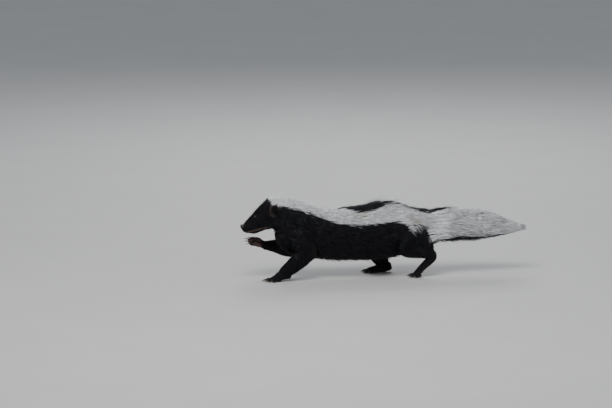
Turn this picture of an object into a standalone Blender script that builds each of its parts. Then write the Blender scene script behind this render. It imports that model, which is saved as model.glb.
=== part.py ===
"""A striped skunk, life size, walking, with its right forepaw lifted and its tail held straight out behind.

The animal faces -X, its left side is -Y and up is +Z, in metres. It stands on the plane z = 0 on the left forepaw,
the left hind toes and the whole right hind foot. Every form is a closed tube through a few named stations, and the
tubes of one part are fused into one smooth surface and then parted with thin cuts. The long coat of the neck, the
back and the tail is made of flat, tapered locks, fused to the part that they grow from.
"""
import math
import random

import bmesh
import bpy
import numpy as np
from mathutils import Matrix, Vector
from mathutils.bvhtree import BVHTree

# Driving sizes
GAP = 0.0003            # clearance between pieces that touch
LEFT, RIGHT = -1.0, 1.0  # which side of the body, as the sign of y

# Fineness of the fused forms, in triangles
BODY_TRIANGLES = 2300
HEAD_TRIANGLES = 1800
PAW_TRIANGLES = 330
CUTTER_TRIANGLES = 280
TAIL_CORE_TRIANGLES = 260

# Size of the cells in which overlapping forms are fused
PAW_VOXEL = 0.0012
HEAD_VOXEL = 0.0016
BODY_VOXEL = 0.0025
ROUGH_VOXEL = 0.0030    # for the core under the plume, and for cutters

# Colours and finishes: base colour, roughness
COAT_BLACK = ((0.018, 0.017, 0.019), 0.55)
COAT_WHITE = ((0.78, 0.78, 0.77), 0.6)
BARE_SKIN = ((0.10, 0.065, 0.055), 0.6)
NOSE_SKIN = ((0.035, 0.028, 0.028), 0.35)
EYE_DARK = ((0.01, 0.007, 0.006), 0.08)
CLAW_HORN = ((0.16, 0.13, 0.11), 0.4)

# Head: the axis runs from the nose tip back and up to the nape
NOSE_TIP = Vector((-0.3175, 0.0, 0.1165))
HEAD_TILT = math.radians(27.0)
HEAD_AXIS = Vector((math.cos(HEAD_TILT), 0.0, math.sin(HEAD_TILT)))
HEAD_UP = Vector((-math.sin(HEAD_TILT), 0.0, math.cos(HEAD_TILT)))

# Head stations: distance behind the nose tip, height off the axis, half width, up, down
HEAD_ROWS = {
    "nose": (0.0040, -0.0010, 0.0070, 0.0060, 0.0080),
    "muzzle_tip": (0.0100, -0.0038, 0.0102, 0.0100, 0.0145),
    "muzzle": (0.0210, -0.0050, 0.0128, 0.0165, 0.0218),
    "stop": (0.0330, -0.0055, 0.0168, 0.0208, 0.0236),
    "brow": (0.0450, -0.0055, 0.0215, 0.0255, 0.0252),
    "cheek": (0.0590, -0.0055, 0.0260, 0.0303, 0.0275),
    "crown": (0.0740, -0.0055, 0.0285, 0.0336, 0.0305),
    "nape": (0.0900, -0.0065, 0.0300, 0.0338, 0.0340),
    "inside_neck": (0.1080, -0.0085, 0.0290, 0.0230, 0.0300),
}
HEAD_CUT = (-0.2370, 0.1400)     # a point of the cut between head and neck, in x and z
HEAD_CUT_TILT = math.radians(-9.0)
EYE_RADIUS = 0.0042
EYE_PLACE = (0.0372, 0.0082, 0.0111)   # along the axis, up, out to the side
EAR_PLACE = (0.0795, 0.0035, 0.0318)   # the middle of its cup
EAR_HEIGHT = 0.0235
EAR_WIDTH = 0.0205
EAR_DEPTH = 0.0060
EAR_THICKNESS = 0.0022
MOUTH_FROM, MOUTH_TO = 0.0035, 0.0420  # along the axis, from the lips to the corner of the mouth
MOUTH_DROP_FRONT, MOUTH_DROP_BACK = -0.0130, -0.0200
MOUTH_GROOVE = 0.0011
LID_FORWARD = 0.0020                   # from the eye's centre to the ring of its lids
LID_RADII = (0.0043, 0.0035)
LID_THICKNESS = (0.0013, 0.0009)
JOWL_PLACE = (0.0150, -0.0085, 0.0050)
JOWL_RADII = (0.0090, 0.0060, 0.0085)
NOSE_PLACE = (0.0042, 0.0006)
NOSE_RADII = (0.0050, 0.0063, 0.0051)
NOSTRIL_PLACE = (0.0048, 0.0034, 0.0006)   # in front of the nose's middle, to the side and down from it
NOSTRIL_RADII = (0.0028, 0.0016, 0.0013)

# Trunk stations: x, height of the centre, half width, up, down
TRUNK_ROWS = {
    "inside_head": (-0.2500, 0.1370, 0.0270, 0.0300, 0.0250),
    "jaw_angle": (-0.2400, 0.1370, 0.0295, 0.0370, 0.0300),
    "throat": (-0.2320, 0.1370, 0.0312, 0.0430, 0.0430),
    "neck": (-0.2130, 0.1290, 0.0360, 0.0475, 0.0560),
    "shoulder": (-0.1830, 0.1110, 0.0430, 0.0510, 0.0610),
    "withers": (-0.1500, 0.1020, 0.0460, 0.0490, 0.0585),
    "chest": (-0.1190, 0.0975, 0.0480, 0.0495, 0.0580),
    "waist": (-0.0600, 0.0975, 0.0500, 0.0520, 0.0610),
    "belly": (0.0000, 0.1000, 0.0540, 0.0535, 0.0615),
    "hips": (0.0380, 0.1030, 0.0550, 0.0425, 0.0555),
    "rump": (0.0700, 0.1060, 0.0460, 0.0365, 0.0430),
    "tail_root": (0.0960, 0.1080, 0.0320, 0.0365, 0.0330),
}
THROAT_ROWS = 4                  # how many of these the head's solid shares
NECK_CUT = (-0.1990, 0.1200)     # a point of the cut between neck and torso, in x and z
NECK_CUT_TILT = math.radians(-20.0)
TAIL_CUT = (0.0940, 0.1110)      # a point of the cut between torso and tail, in x and z
TAIL_CUT_TILT = math.radians(17.0)

# Tail stations, the plume's outer form: x, height of the centre, half width, up, down
TAIL_ROWS = {
    "inside_rump": (0.0700, 0.1120, 0.0300, 0.0290, 0.0290),
    "base": (0.0900, 0.1110, 0.0330, 0.0370, 0.0330),
    "first": (0.1200, 0.1120, 0.0370, 0.0385, 0.0375),
    "second": (0.1600, 0.1100, 0.0390, 0.0395, 0.0385),
    "middle": (0.2000, 0.1080, 0.0360, 0.0385, 0.0375),
    "third": (0.2400, 0.1040, 0.0280, 0.0320, 0.0280),
    "fourth": (0.2800, 0.1005, 0.0165, 0.0195, 0.0165),
    "tip": (0.3180, 0.0980, 0.0045, 0.0055, 0.0045),
}

# Tail core stations, at most half way out to the tips past its root
TAIL_CORE_ROWS = {
    "inside_rump": (0.0700, 0.1110, 0.0300, 0.0290, 0.0290),
    "base": (0.0900, 0.1110, 0.0325, 0.0350, 0.0325),
    "first": (0.1150, 0.1115, 0.0255, 0.0275, 0.0255),
    "second": (0.1450, 0.1105, 0.0190, 0.0195, 0.0190),
    "middle": (0.1900, 0.1085, 0.0165, 0.0170, 0.0165),
    "third": (0.2350, 0.1040, 0.0120, 0.0125, 0.0120),
    "end": (0.2750, 0.1005, 0.0060, 0.0065, 0.0060),
}

# Locks: where along x their roots are, how many lie round the body there, and their length
TAIL_LOCK_ROWS = ((0.0950, 9, 0.062), (0.1140, 9, 0.066), (0.1340, 9, 0.068), (0.1550, 9, 0.068),
                  (0.1780, 8, 0.066), (0.2010, 7, 0.064), (0.2260, 6, 0.064), (0.2540, 5, 0.062))
TAIL_LOCK_HALF_WIDTH = 0.0095
BACK_LOCK_HALF_WIDTH = 0.0105
LOCK_HALF_THICKNESS = 0.0022
LOCK_SINK = 0.0050               # how deep a root lies under the surface it grows from
LOCK_STAGGER = 0.0030            # most that a root is set forward or back of its row
TAIL_LOCK_TURN = math.radians(6.0)   # most that a root is set round from its even place
TAIL_LOCK_SWEEP = math.radians(7.0)  # most turn of a lock about the tail on its way back
BACK_LOCK_ROWS = ((-0.1960, 5, 0.052), (-0.1610, 6, 0.056), (-0.1260, 5, 0.058), (-0.0900, 6, 0.058),
                  (-0.0540, 5, 0.058), (-0.0180, 6, 0.058), (0.0180, 5, 0.056), (0.0500, 6, 0.048))
BACK_LOCK_ARC = math.radians(74.0)   # how far down either flank the back's locks start
BACK_LOCK_RISE = 0.0075              # height of their tips over the body
MIDBACK = (-0.1000, 0.0300)          # x of the roots where the hair of the middle of the back stands up
MIDBACK_ARC = math.radians(25.0)
MIDBACK_RISE = 0.0175
BACK_LOCK_DRIFT = math.radians(4.0)  # most turn of a lock about the body on its way back
BACK_LOCK_DROOP = 0.10               # how much further the locks of the flanks turn down
NECK_LOCK_ROWS = ((-0.2290, 4, 0.034), (-0.2140, 5, 0.036))

# Limb stations: x, distance from the midline, z, half width, behind, in front
FORELEG_PLANTED = {
    "shoulder": (-0.1930, 0.0240, 0.1050, 0.0200, 0.0280, 0.0280),
    "upper_arm": (-0.1830, 0.0310, 0.0820, 0.0185, 0.0230, 0.0250),
    "elbow": (-0.1790, 0.0345, 0.0610, 0.0160, 0.0200, 0.0200),
    "forearm": (-0.2050, 0.0345, 0.0370, 0.0140, 0.0185, 0.0165),
    "wrist": (-0.2270, 0.0340, 0.0205, 0.0118, 0.0150, 0.0120),
    "inside_paw": (-0.2330, 0.0340, 0.0140, 0.0090, 0.0085, 0.0080),
}
FORELEG_LIFTED = {
    "shoulder": (-0.1950, 0.0240, 0.1050, 0.0200, 0.0280, 0.0280),
    "upper_arm": (-0.1960, 0.0300, 0.0800, 0.0190, 0.0250, 0.0240),
    "elbow": (-0.2030, 0.0330, 0.0610, 0.0170, 0.0200, 0.0200),
    "forearm": (-0.2350, 0.0335, 0.0660, 0.0130, 0.0145, 0.0145),
    "wrist": (-0.2580, 0.0320, 0.0690, 0.0100, 0.0098, 0.0098),
    "inside_paw": (-0.2660, 0.0315, 0.0715, 0.0090, 0.0080, 0.0080),
}
HINDLEG_TRAILING = {
    "hip": (0.0560, 0.0260, 0.1080, 0.0250, 0.0330, 0.0330),
    "thigh": (0.0520, 0.0350, 0.0830, 0.0240, 0.0330, 0.0330),
    "knee": (0.0480, 0.0385, 0.0665, 0.0190, 0.0215, 0.0215),
    "shank": (0.0770, 0.0380, 0.0565, 0.0140, 0.0135, 0.0140),
    "hock": (0.1000, 0.0365, 0.0460, 0.0100, 0.0108, 0.0105),
    "inside_paw": (0.1010, 0.0360, 0.0400, 0.0085, 0.0085, 0.0085),
}
HAMSTRING_TRAILING = {
    "rump": (0.0640, 0.0250, 0.1050, 0.0230, 0.0260, 0.0260),
    "middle": (0.0800, 0.0320, 0.0800, 0.0180, 0.0200, 0.0200),
    "low": (0.0930, 0.0360, 0.0570, 0.0110, 0.0120, 0.0120),
}
HINDLEG_PLANTED = {
    "hip": (0.0500, 0.0260, 0.1060, 0.0250, 0.0330, 0.0330),
    "thigh": (0.0260, 0.0350, 0.0800, 0.0240, 0.0320, 0.0320),
    "knee": (-0.0020, 0.0385, 0.0560, 0.0195, 0.0250, 0.0280),
    "shank": (-0.0010, 0.0370, 0.0350, 0.0145, 0.0185, 0.0205),
    "hock": (0.0080, 0.0350, 0.0180, 0.0105, 0.0110, 0.0120),
    "inside_paw": (0.0080, 0.0350, 0.0120, 0.0085, 0.0085, 0.0085),
}

# Paws: sizes along, across and above the sole, in the paw's own frame
FOREPAW = {"half_width": 0.0115, "toe": 0.0150, "toe_radius": 0.0034, "claw": 0.0125}
HINDPAW = {"half_width": 0.0115, "toe": 0.0125, "toe_radius": 0.0034, "claw": 0.0085}
TOES = 5
TOE_SPREAD = math.radians(13.0)
TOE_STEP = 0.47         # from one toe to the next, as a share of the paw's half width
TOE_SET_BACK = 0.0016   # times the square of a toe's place from the middle one
TOE_TAPER = 0.10        # how much shorter a toe is for its place from the middle one
INNER_TOE_SHORTER = 0.12
TOE_SINK = 0.0004
LIFTED_ROLL = math.radians(45.0)   # turns the lifted paw's sole outward
CLAW_RADIUS = 0.0014
CLAW_SIDES = 6
CLAW_SINK = 0.0022
CLAW_LIFT = 0.0003
CLAW_REACH = 0.0020     # how far past a toe's last station its surface lies


def clear_scene():
    for obj in list(bpy.data.objects):
        bpy.data.objects.remove(obj, do_unlink=True)


def material(name, look):
    """A Principled material of one colour and roughness."""
    colour, roughness = look
    made = bpy.data.materials.new(name)
    made.use_nodes = True
    shader = made.node_tree.nodes["Principled BSDF"]
    shader.inputs["Base Color"].default_value = (*colour, 1.0)
    shader.inputs["Roughness"].default_value = roughness
    return made


def smooth_rows(rows, per_span):
    """Rows of numbers read from a Catmull-Rom curve through the given rows, per_span steps between two of them."""
    rows = np.array(rows, float)
    ends = np.vstack([2 * rows[0] - rows[1], rows, 2 * rows[-1] - rows[-2]])
    out = []
    for i in range(len(rows) - 1):
        a, b, c, d = ends[i:i + 4]
        for k in range(per_span):
            t = k / per_span
            out.append(0.5 * (2 * b + (c - a) * t + (2 * a - 5 * b + 4 * c - d) * t ** 2
                              + (3 * b - a - 3 * c + d) * t ** 3))
    out.append(rows[-1])
    return np.array(out)


def tube_parts(rows, sides, per_span, power=2.0, dome=0.6):
    """Points and faces of a closed tube. A row is x, y, z of the centre, half width across y, and the reach to
    either side in the plane of the bend: first along tangent x side, then against it. Round ends close it, or flat
    ones where dome is 0."""
    dense = smooth_rows(rows, per_span)
    centres = [Vector(row[:3]) for row in dense]
    points, count = [], len(dense)
    tangents = []
    for i in range(count):
        tangents.append((centres[min(i + 1, count - 1)] - centres[max(i - 1, 0)]).normalized())

    def ring(centre, tangent, half, above, below, scale):
        side = (Vector((0, 1, 0)) - tangent * tangent.y).normalized()
        up = tangent.cross(side)
        for k in range(sides):
            angle = 2 * math.pi * k / sides
            c, s = math.cos(angle), math.sin(angle)
            c = math.copysign(abs(c) ** (2 / power), c)
            s = math.copysign(abs(s) ** (2 / power), s)
            reach = above if s > 0 else below
            points.append(centre + side * (half * c * scale) + up * (reach * s * scale))

    def cap(at, sign, steps=3):
        if dome == 0:
            return centres[at]
        half, above, below = dense[at][3:6]
        bulge = dome * (half + above + below) / 3
        turns = [math.pi / 2 * k / steps for k in range(1, steps)]
        for turn in (turns if sign > 0 else reversed(turns)):
            ring(centres[at] + tangents[at] * (sign * bulge * math.sin(turn)), tangents[at],
                 half, above, below, math.cos(turn))
        return centres[at] + tangents[at] * (sign * bulge)

    pole_start = cap(0, -1)
    for i in range(count):
        ring(centres[i], tangents[i], *dense[i][3:6], 1.0)
    pole_end = cap(count - 1, 1)
    rings = len(points) // sides
    faces = []
    for r in range(rings - 1):
        for k in range(sides):
            a, b = r * sides + k, r * sides + (k + 1) % sides
            faces.append((a, b, b + sides, a + sides))
    points += [pole_start, pole_end]
    for k in range(sides):
        faces.append((len(points) - 2, (k + 1) % sides, k))
        last = (rings - 1) * sides
        faces.append((len(points) - 1, last + k, last + (k + 1) % sides))
    return points, faces


def ball_parts(centre, radii, turn=None, segments=16, rings=10):
    """Points and faces of an ellipsoid, with its axes turned by a matrix if one is given."""
    points, faces = [], []
    for r in range(1, rings):
        lat = math.pi * r / rings
        for k in range(segments):
            lon = 2 * math.pi * k / segments
            points.append(Vector((math.sin(lat) * math.cos(lon), math.sin(lat) * math.sin(lon), math.cos(lat))))
    points += [Vector((0, 0, 1)), Vector((0, 0, -1))]
    for r in range(rings - 2):
        for k in range(segments):
            a, b = r * segments + k, r * segments + (k + 1) % segments
            faces.append((a, a + segments, b + segments, b))
    for k in range(segments):
        faces.append((len(points) - 2, k, (k + 1) % segments))
        last = (rings - 2) * segments
        faces.append((len(points) - 1, last + (k + 1) % segments, last + k))
    scaled = [Vector((p.x * radii[0], p.y * radii[1], p.z * radii[2])) for p in points]
    if turn is not None:
        scaled = [turn @ p for p in scaled]
    return [Vector(centre) + p for p in scaled], faces


def join_parts(*several):
    """One list of points and one of faces, from several."""
    points, faces = [], []
    for more_points, more_faces in several:
        faces += [tuple(i + len(points) for i in face) for face in more_faces]
        points += more_points
    return points, faces


def new_object(name, parts):
    """An object with its normals facing out."""
    mesh = bpy.data.meshes.new(name)
    mesh.from_pydata([tuple(p) for p in parts[0]], [], parts[1])
    bm = bmesh.new()
    bm.from_mesh(mesh)
    bmesh.ops.recalc_face_normals(bm, faces=bm.faces)
    bm.to_mesh(mesh)
    bm.free()
    obj = bpy.data.objects.new(name, mesh)
    bpy.context.scene.collection.objects.link(obj)
    return obj


def bake_modifiers(obj):
    """Replaces the object's mesh with what its modifiers make of it."""
    graph = bpy.context.evaluated_depsgraph_get()
    made = bpy.data.meshes.new_from_object(obj.evaluated_get(graph))
    obj.modifiers.clear()
    obj.data = made
    return obj


def fuse(name, several, voxel, smooth_steps, triangles):
    """Overlapping closed forms made one smooth skin of about that many triangles."""
    obj = new_object(name, join_parts(*several))
    remesh = obj.modifiers.new("fuse", "REMESH")
    remesh.mode = "VOXEL"
    remesh.voxel_size = voxel
    soften = obj.modifiers.new("soften", "SMOOTH")
    soften.factor = 0.5
    soften.iterations = smooth_steps
    bake_modifiers(obj)
    sides = sum(len(face.vertices) - 2 for face in obj.data.polygons)
    thin = obj.modifiers.new("thin", "DECIMATE")
    thin.ratio = min(1.0, triangles / sides)
    bake_modifiers(obj)
    return keep_largest(obj)


def keep_largest(obj):
    """Drops all but the largest connected surface."""
    bm = bmesh.new()
    bm.from_mesh(obj.data)
    seen, islands = set(), []
    for start in bm.verts:
        if start in seen:
            continue
        island, queue = [], [start]
        seen.add(start)
        while queue:
            vert = queue.pop()
            island.append(vert)
            for edge in vert.link_edges:
                other = edge.other_vert(vert)
                if other not in seen:
                    seen.add(other)
                    queue.append(other)
        islands.append(island)
    if len(islands) > 1:
        largest = max(islands, key=len)
        for island in islands:
            if island is not largest:
                bmesh.ops.delete(bm, geom=island, context="VERTS")
    bm.to_mesh(obj.data)
    bm.free()
    return obj


def copy_of(obj, name):
    """A second object with its own copy of the mesh."""
    made = bpy.data.objects.new(name, obj.data.copy())
    bpy.context.scene.collection.objects.link(made)
    return made


def remove(*objects):
    for obj in objects:
        bpy.data.objects.remove(obj, do_unlink=True)


def combine(obj, other, operation):
    """The object joined with, cut by, or limited to another, which is then removed."""
    step = obj.modifiers.new(operation.lower(), "BOOLEAN")
    step.operation = operation
    step.solver = "EXACT"
    step.object = other
    bake_modifiers(obj)
    remove(other)
    return keep_largest(obj)


def grown(obj, by, name):
    """A copy whose surface stands out by that much along its normals."""
    made = copy_of(obj, name)
    step = made.modifiers.new("grow", "DISPLACE")
    step.strength = by
    step.mid_level = 0.0
    return bake_modifiers(made)


def cut_plane(obj, point, normal):
    """Cuts away what lies on the normal's side of the plane and closes the cut with a flat face."""
    bm = bmesh.new()
    bm.from_mesh(obj.data)
    bmesh.ops.bisect_plane(bm, geom=bm.verts[:] + bm.edges[:] + bm.faces[:], dist=1e-6,
                           plane_co=point, plane_no=normal, clear_outer=True)
    open_edges = [edge for edge in bm.edges if edge.is_boundary]
    bmesh.ops.holes_fill(bm, edges=open_edges, sides=0)
    bmesh.ops.triangulate(bm, faces=[face for face in bm.faces if len(face.verts) > 4])
    bmesh.ops.recalc_face_normals(bm, faces=bm.faces)
    bm.to_mesh(obj.data)
    bm.free()
    return keep_largest(obj)


def tilted_plane(place, tilt):
    """A point of a cut across the body and its direction, backwards and, by the tilt, up."""
    return Vector((place[0], 0, place[1])), Vector((math.cos(tilt), 0, math.sin(tilt)))


def on_head(along, up, out=0.0, side=1.0):
    """A point given along the head's axis, up from it, and out to one side."""
    return NOSE_TIP + HEAD_AXIS * along + HEAD_UP * up + Vector((0, out * side, 0))


def head_rows():
    return [(*on_head(along, up), half, above, below) for along, up, half, above, below in HEAD_ROWS.values()]


def midline_rows(rows):
    return [(x, 0.0, z, half, above, below) for x, z, half, above, below in rows.values()]


def limb_rows(rows, side):
    return [(x, y * side, z, half, behind, front) for x, y, z, half, behind, front in rows.values()]


def make_body():
    """Neck, torso and the four legs down to wrist and hock, as one skin."""
    forms = [
        tube_parts(head_rows()[3:], 28, 4, power=2.1),
        tube_parts(midline_rows(TRUNK_ROWS), 32, 4, power=2.15),
        tube_parts(limb_rows(FORELEG_PLANTED, LEFT), 20, 4),
        tube_parts(limb_rows(FORELEG_LIFTED, RIGHT), 20, 4),
        tube_parts(limb_rows(HINDLEG_TRAILING, LEFT), 20, 4),
        tube_parts(limb_rows(HAMSTRING_TRAILING, LEFT), 20, 4),
        tube_parts(limb_rows(HINDLEG_PLANTED, RIGHT), 20, 4),
    ]
    return fuse("torso", forms, BODY_VOXEL, 8, BODY_TRIANGLES)


def split_body(body):
    """Parts the legs, the neck and the tail's root off the torso, and gives the neck and the back their locks."""
    made = {}
    cutters = []
    for name, (side, *forms) in LEG_FORMS.items():
        made[name] = copy_of(body, name)
        cutter = leg_cutter(side, forms)
        cutters.append(grown(cutter, CUT_GROWTH, "outer_cutter"))
        combine(made[name], cutter, "INTERSECT")
    made["neck"] = copy_of(body, "neck")
    made["torso"] = body
    add_locks(made["neck"], back_locks(made["neck"], NECK_LOCK_ROWS))
    add_locks(body, back_locks(body, BACK_LOCK_ROWS))
    point, back = tilted_plane(NECK_CUT, NECK_CUT_TILT)
    cut_plane(made["neck"], point - back * (GAP / 2), back)
    cut_plane(body, point + back * (GAP / 2), -back)
    for cutter in cutters:
        combine(made["neck"], copy_of(cutter, "neck_cutter"), "DIFFERENCE")
        combine(body, cutter, "DIFFERENCE")
    point, back = tilted_plane(HEAD_CUT, HEAD_CUT_TILT)
    cut_plane(made["neck"], point + back * (GAP / 2), -back)
    point, back = tilted_plane(TAIL_CUT, TAIL_CUT_TILT)
    cut_plane(body, point - back * (GAP / 2), back)
    return made


def lock_parts(stations):
    """A flat, tapered lock. A station is a point, the direction across, the one outward, half width and half
    thickness, and the last one is the tip."""
    points, faces = [], []
    for point, across, outward, half, thick in stations[:-1]:
        points += [point - across * half, point + outward * thick, point + across * half, point - outward * thick]
    points.append(stations[-1][0])
    faces += [(0, 1, 3), (1, 2, 3)]
    last = len(stations) - 2
    for i in range(last):
        for k in range(4):
            a, b = i * 4 + k, i * 4 + (k + 1) % 4
            if k % 2:
                faces += [(a, b, b + 4), (a, b + 4, a + 4)]
            else:
                faces += [(a, b, a + 4), (b, b + 4, a + 4)]
    for k in range(4):
        faces.append((last * 4 + k, last * 4 + (k + 1) % 4, len(points) - 1))
    return points, faces


# Shares along a lock, with its half width and half thickness there as shares of the largest
LOCK_FORM = ((0.0, 0.55, 0.9), (0.28, 0.95, 1.0), (0.62, 0.85, 0.8), (1.0, 0.0, 0.0))


def lock_along(place, outward_at, half_width):
    """A lock that follows a line over the body. place gives a point for a share of its length."""
    stations = []
    for share, wide, thick in LOCK_FORM:
        point = place(share)
        way = (place(min(1.0, share + 0.05)) - place(max(0.0, share - 0.05))).normalized()
        outward = outward_at(share)
        across = way.cross(outward).normalized()
        outward = across.cross(way).normalized()
        stations.append((point, across, outward, half_width * wide, LOCK_HALF_THICKNESS * thick))
    return lock_parts(stations)


def back_locks(body, rows):
    """The locks of the neck or the back, in rows that overlap towards the tail."""
    draw = random.Random(7)
    surface = BVHTree.FromObject(body, bpy.context.evaluated_depsgraph_get())
    locks = []
    for row, (start, count, length) in enumerate(rows):
        for i in range(count):
            lean = BACK_LOCK_ARC * (2 * i / (count - 1) - 1) * draw.uniform(0.90, 1.12)
            start_x = start + draw.uniform(-LOCK_STAGGER, LOCK_STAGGER)
            long = length * draw.uniform(0.92, 1.08)
            rise = BACK_LOCK_RISE * draw.uniform(0.85, 1.1)
            if abs(lean) < MIDBACK_ARC and MIDBACK[0] < start_x < MIDBACK[1]:
                rise = MIDBACK_RISE * draw.uniform(0.9, 1.05)
            drift = draw.uniform(-BACK_LOCK_DRIFT, BACK_LOCK_DRIFT) + BACK_LOCK_DROOP * math.sin(lean)

            def place(share):
                x = start_x + long * share
                turn = lean + drift * share
                outward = Vector((0.0, math.sin(turn), math.cos(turn)))
                hit = surface.ray_cast(Vector((x, 0.0, trunk_centre(x))), outward)[0]
                lift = -LOCK_SINK + (LOCK_SINK + rise) * math.sin(0.5 * math.pi * share) ** 0.9
                return hit + outward * lift

            def outward_at(share):
                turn = lean + drift * share
                return Vector((0.0, math.sin(turn), math.cos(turn)))

            locks.append(lock_along(place, outward_at, BACK_LOCK_HALF_WIDTH))
    return locks


def trunk_centre(x):
    """Height of the trunk's middle at x."""
    rows = list(TRUNK_ROWS.values())
    return float(np.interp(x, [row[0] for row in rows], [row[1] for row in rows]))


def reach_at(rows, x, turn):
    """The centre of a tube at x, and how far out its surface is in the direction turned from straight up."""
    stations = list(rows.values())
    xs = [row[0] for row in stations]
    z, half, up, down = (float(np.interp(x, xs, [row[i] for row in stations])) for i in range(1, 5))
    tall = up if math.cos(turn) > 0 else down
    return Vector((x, 0.0, z)), 1.0 / math.hypot(math.sin(turn) / half, math.cos(turn) / tall)


def tail_locks():
    """The locks of the plume, which lie back along the tail and end at its outline."""
    draw = random.Random(11)
    locks = []
    for row, (start, count, length) in enumerate(TAIL_LOCK_ROWS):
        for i in range(count):
            turn = 2 * math.pi * (i + 0.5 * (row % 2)) / count + draw.uniform(-TAIL_LOCK_TURN, TAIL_LOCK_TURN)
            start_x = start + draw.uniform(-LOCK_STAGGER, LOCK_STAGGER)
            long = length * draw.uniform(0.90, 1.12)
            reach = draw.uniform(0.90, 1.0)
            sweep = draw.uniform(-TAIL_LOCK_SWEEP, TAIL_LOCK_SWEEP)

            def place(share):
                x = start_x + long * share
                here = turn + sweep * share
                centre, core = reach_at(TAIL_CORE_ROWS, x, here)
                outline = reach_at(TAIL_ROWS, x, here)[1] * reach
                rise = math.sin(0.5 * math.pi * share) ** 0.8
                radius = (core - LOCK_SINK) * (1 - rise) + outline * rise
                return centre + Vector((0.0, math.sin(here), math.cos(here))) * radius

            def outward_at(share):
                here = turn + sweep * share
                return Vector((0.0, math.sin(here), math.cos(here)))

            locks.append(lock_along(place, outward_at, TAIL_LOCK_HALF_WIDTH))
    return locks


def add_locks(obj, locks):
    """Fuses the locks to the object with one union."""
    group = bpy.data.collections.new("locks")
    bpy.context.scene.collection.children.link(group)
    for parts in locks:
        lock = new_object("lock", parts)
        bpy.context.scene.collection.objects.unlink(lock)
        group.objects.link(lock)
    step = obj.modifiers.new("locks", "BOOLEAN")
    step.operation = "UNION"
    step.operand_type = "COLLECTION"
    step.collection = group
    step.solver = "EXACT"
    step.use_self = False
    bake_modifiers(obj)
    remove(*list(group.objects))
    bpy.data.collections.remove(group)
    return keep_largest(obj)


# Leg cuts: the side of the body, and the rows of the leg and of any second form in it
LEG_FORMS = {
    "foreleg_left": (LEFT, FORELEG_PLANTED),
    "foreleg_right": (RIGHT, FORELEG_LIFTED),
    "hindleg_left": (LEFT, HINDLEG_TRAILING, HAMSTRING_TRAILING),
    "hindleg_right": (RIGHT, HINDLEG_PLANTED),
}
CUT_MARGIN = 0.0030     # how far outside a leg's form its cut runs
CUT_OUTWARD = 0.0120    # how much further it reaches away from the midline
CUT_TOP = 0.72          # size of the cut's top end, as a share of the leg's
CUT_GROWTH = 0.0004     # how far the cut in the body stands off the cut on the leg


def leg_cutter(side, forms):
    """The closed shape that holds one leg from hip or shoulder down."""
    several = []
    for form in forms:
        rows = []
        for i, (x, y, z, half, behind, front) in enumerate(limb_rows(form, side)):
            share = CUT_TOP if i == 0 else 1.0
            rows.append((x, y + CUT_OUTWARD * side, z, half + CUT_OUTWARD + CUT_MARGIN,
                         behind * share + CUT_MARGIN, front * share + CUT_MARGIN))
        several.append(tube_parts(rows, 20, 4))
    return fuse("leg_cutter", several, ROUGH_VOXEL, 2, CUTTER_TRIANGLES)


def make_tail():
    """The tail: a slender core and the locks of its plume."""
    tail = fuse("tail", [tube_parts(midline_rows(TAIL_CORE_ROWS), 16, 4)], ROUGH_VOXEL, 6, TAIL_CORE_TRIANGLES)
    add_locks(tail, tail_locks())
    point, back = tilted_plane(TAIL_CUT, TAIL_CUT_TILT)
    cut_plane(tail, point + back * (GAP / 2), -back)
    return [tail]


def ear_parts(side):
    """The round cup of an ear, a shallow bowl that opens forward and out, thinnest at its rim."""
    spokes, rings = 14, 3
    out = Vector((0, side, 0))
    up = (HEAD_UP + HEAD_AXIS * 0.25 + out * 0.35).normalized()
    face = out * 0.86 - HEAD_AXIS * 0.50
    face = (face - up * face.dot(up)).normalized()
    wide = up.cross(face).normalized()
    centre = on_head(*EAR_PLACE, side)
    points, faces = [], []
    for layer in (-0.5, 0.5):
        points.append(centre + face * (EAR_THICKNESS * layer - EAR_DEPTH))
        for r in range(1, rings + 1):
            share = r / rings
            for k in range(spokes):
                turn = 2 * math.pi * k / spokes
                spread = wide * (EAR_WIDTH / 2 * math.cos(turn)) + up * (EAR_HEIGHT / 2 * math.sin(turn))
                thick = EAR_THICKNESS * layer * (1 - 0.45 * share ** 3)
                bowl = EAR_DEPTH * (share ** 2 * (1 - 0.55 * max(0.0, math.sin(turn))) - 1)
                points.append(centre + spread * share + face * (bowl + thick))
    size = 1 + rings * spokes
    for k in range(spokes):
        after = (k + 1) % spokes
        faces += [(0, 1 + after, 1 + k), (size, size + 1 + k, size + 1 + after)]
        for r in range(rings - 1):
            a, b = 1 + r * spokes + k, 1 + r * spokes + after
            faces += [(a, b, b + spokes, a + spokes), (size + a, size + a + spokes, size + b + spokes, size + b)]
        a, b = 1 + (rings - 1) * spokes + k, 1 + (rings - 1) * spokes + after
        faces.append((a, b, size + b, size + a))
    return points, faces


def ring_parts(centre, normal, up, radii, thickness, around=16, sides=6):
    """An oval ring, as of an eyelid, lying round a centre."""
    normal = normal.normalized()
    up = (up - normal * up.dot(normal)).normalized()
    across = normal.cross(up)
    points, faces = [], []
    for i in range(around):
        turn = 2 * math.pi * i / around
        spoke = across * math.cos(turn) * radii[0] + up * math.sin(turn) * radii[1]
        for k in range(sides):
            angle = 2 * math.pi * k / sides
            points.append(centre + spoke + spoke.normalized() * (thickness[0] * math.cos(angle))
                          + normal * (thickness[1] * math.sin(angle)))
    for i in range(around):
        for k in range(sides):
            a, b = i * sides + k, i * sides + (k + 1) % sides
            c, d = (i + 1) % around * sides + (k + 1) % sides, (i + 1) % around * sides + k
            faces.append((a, b, c, d))
    return points, faces


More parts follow.
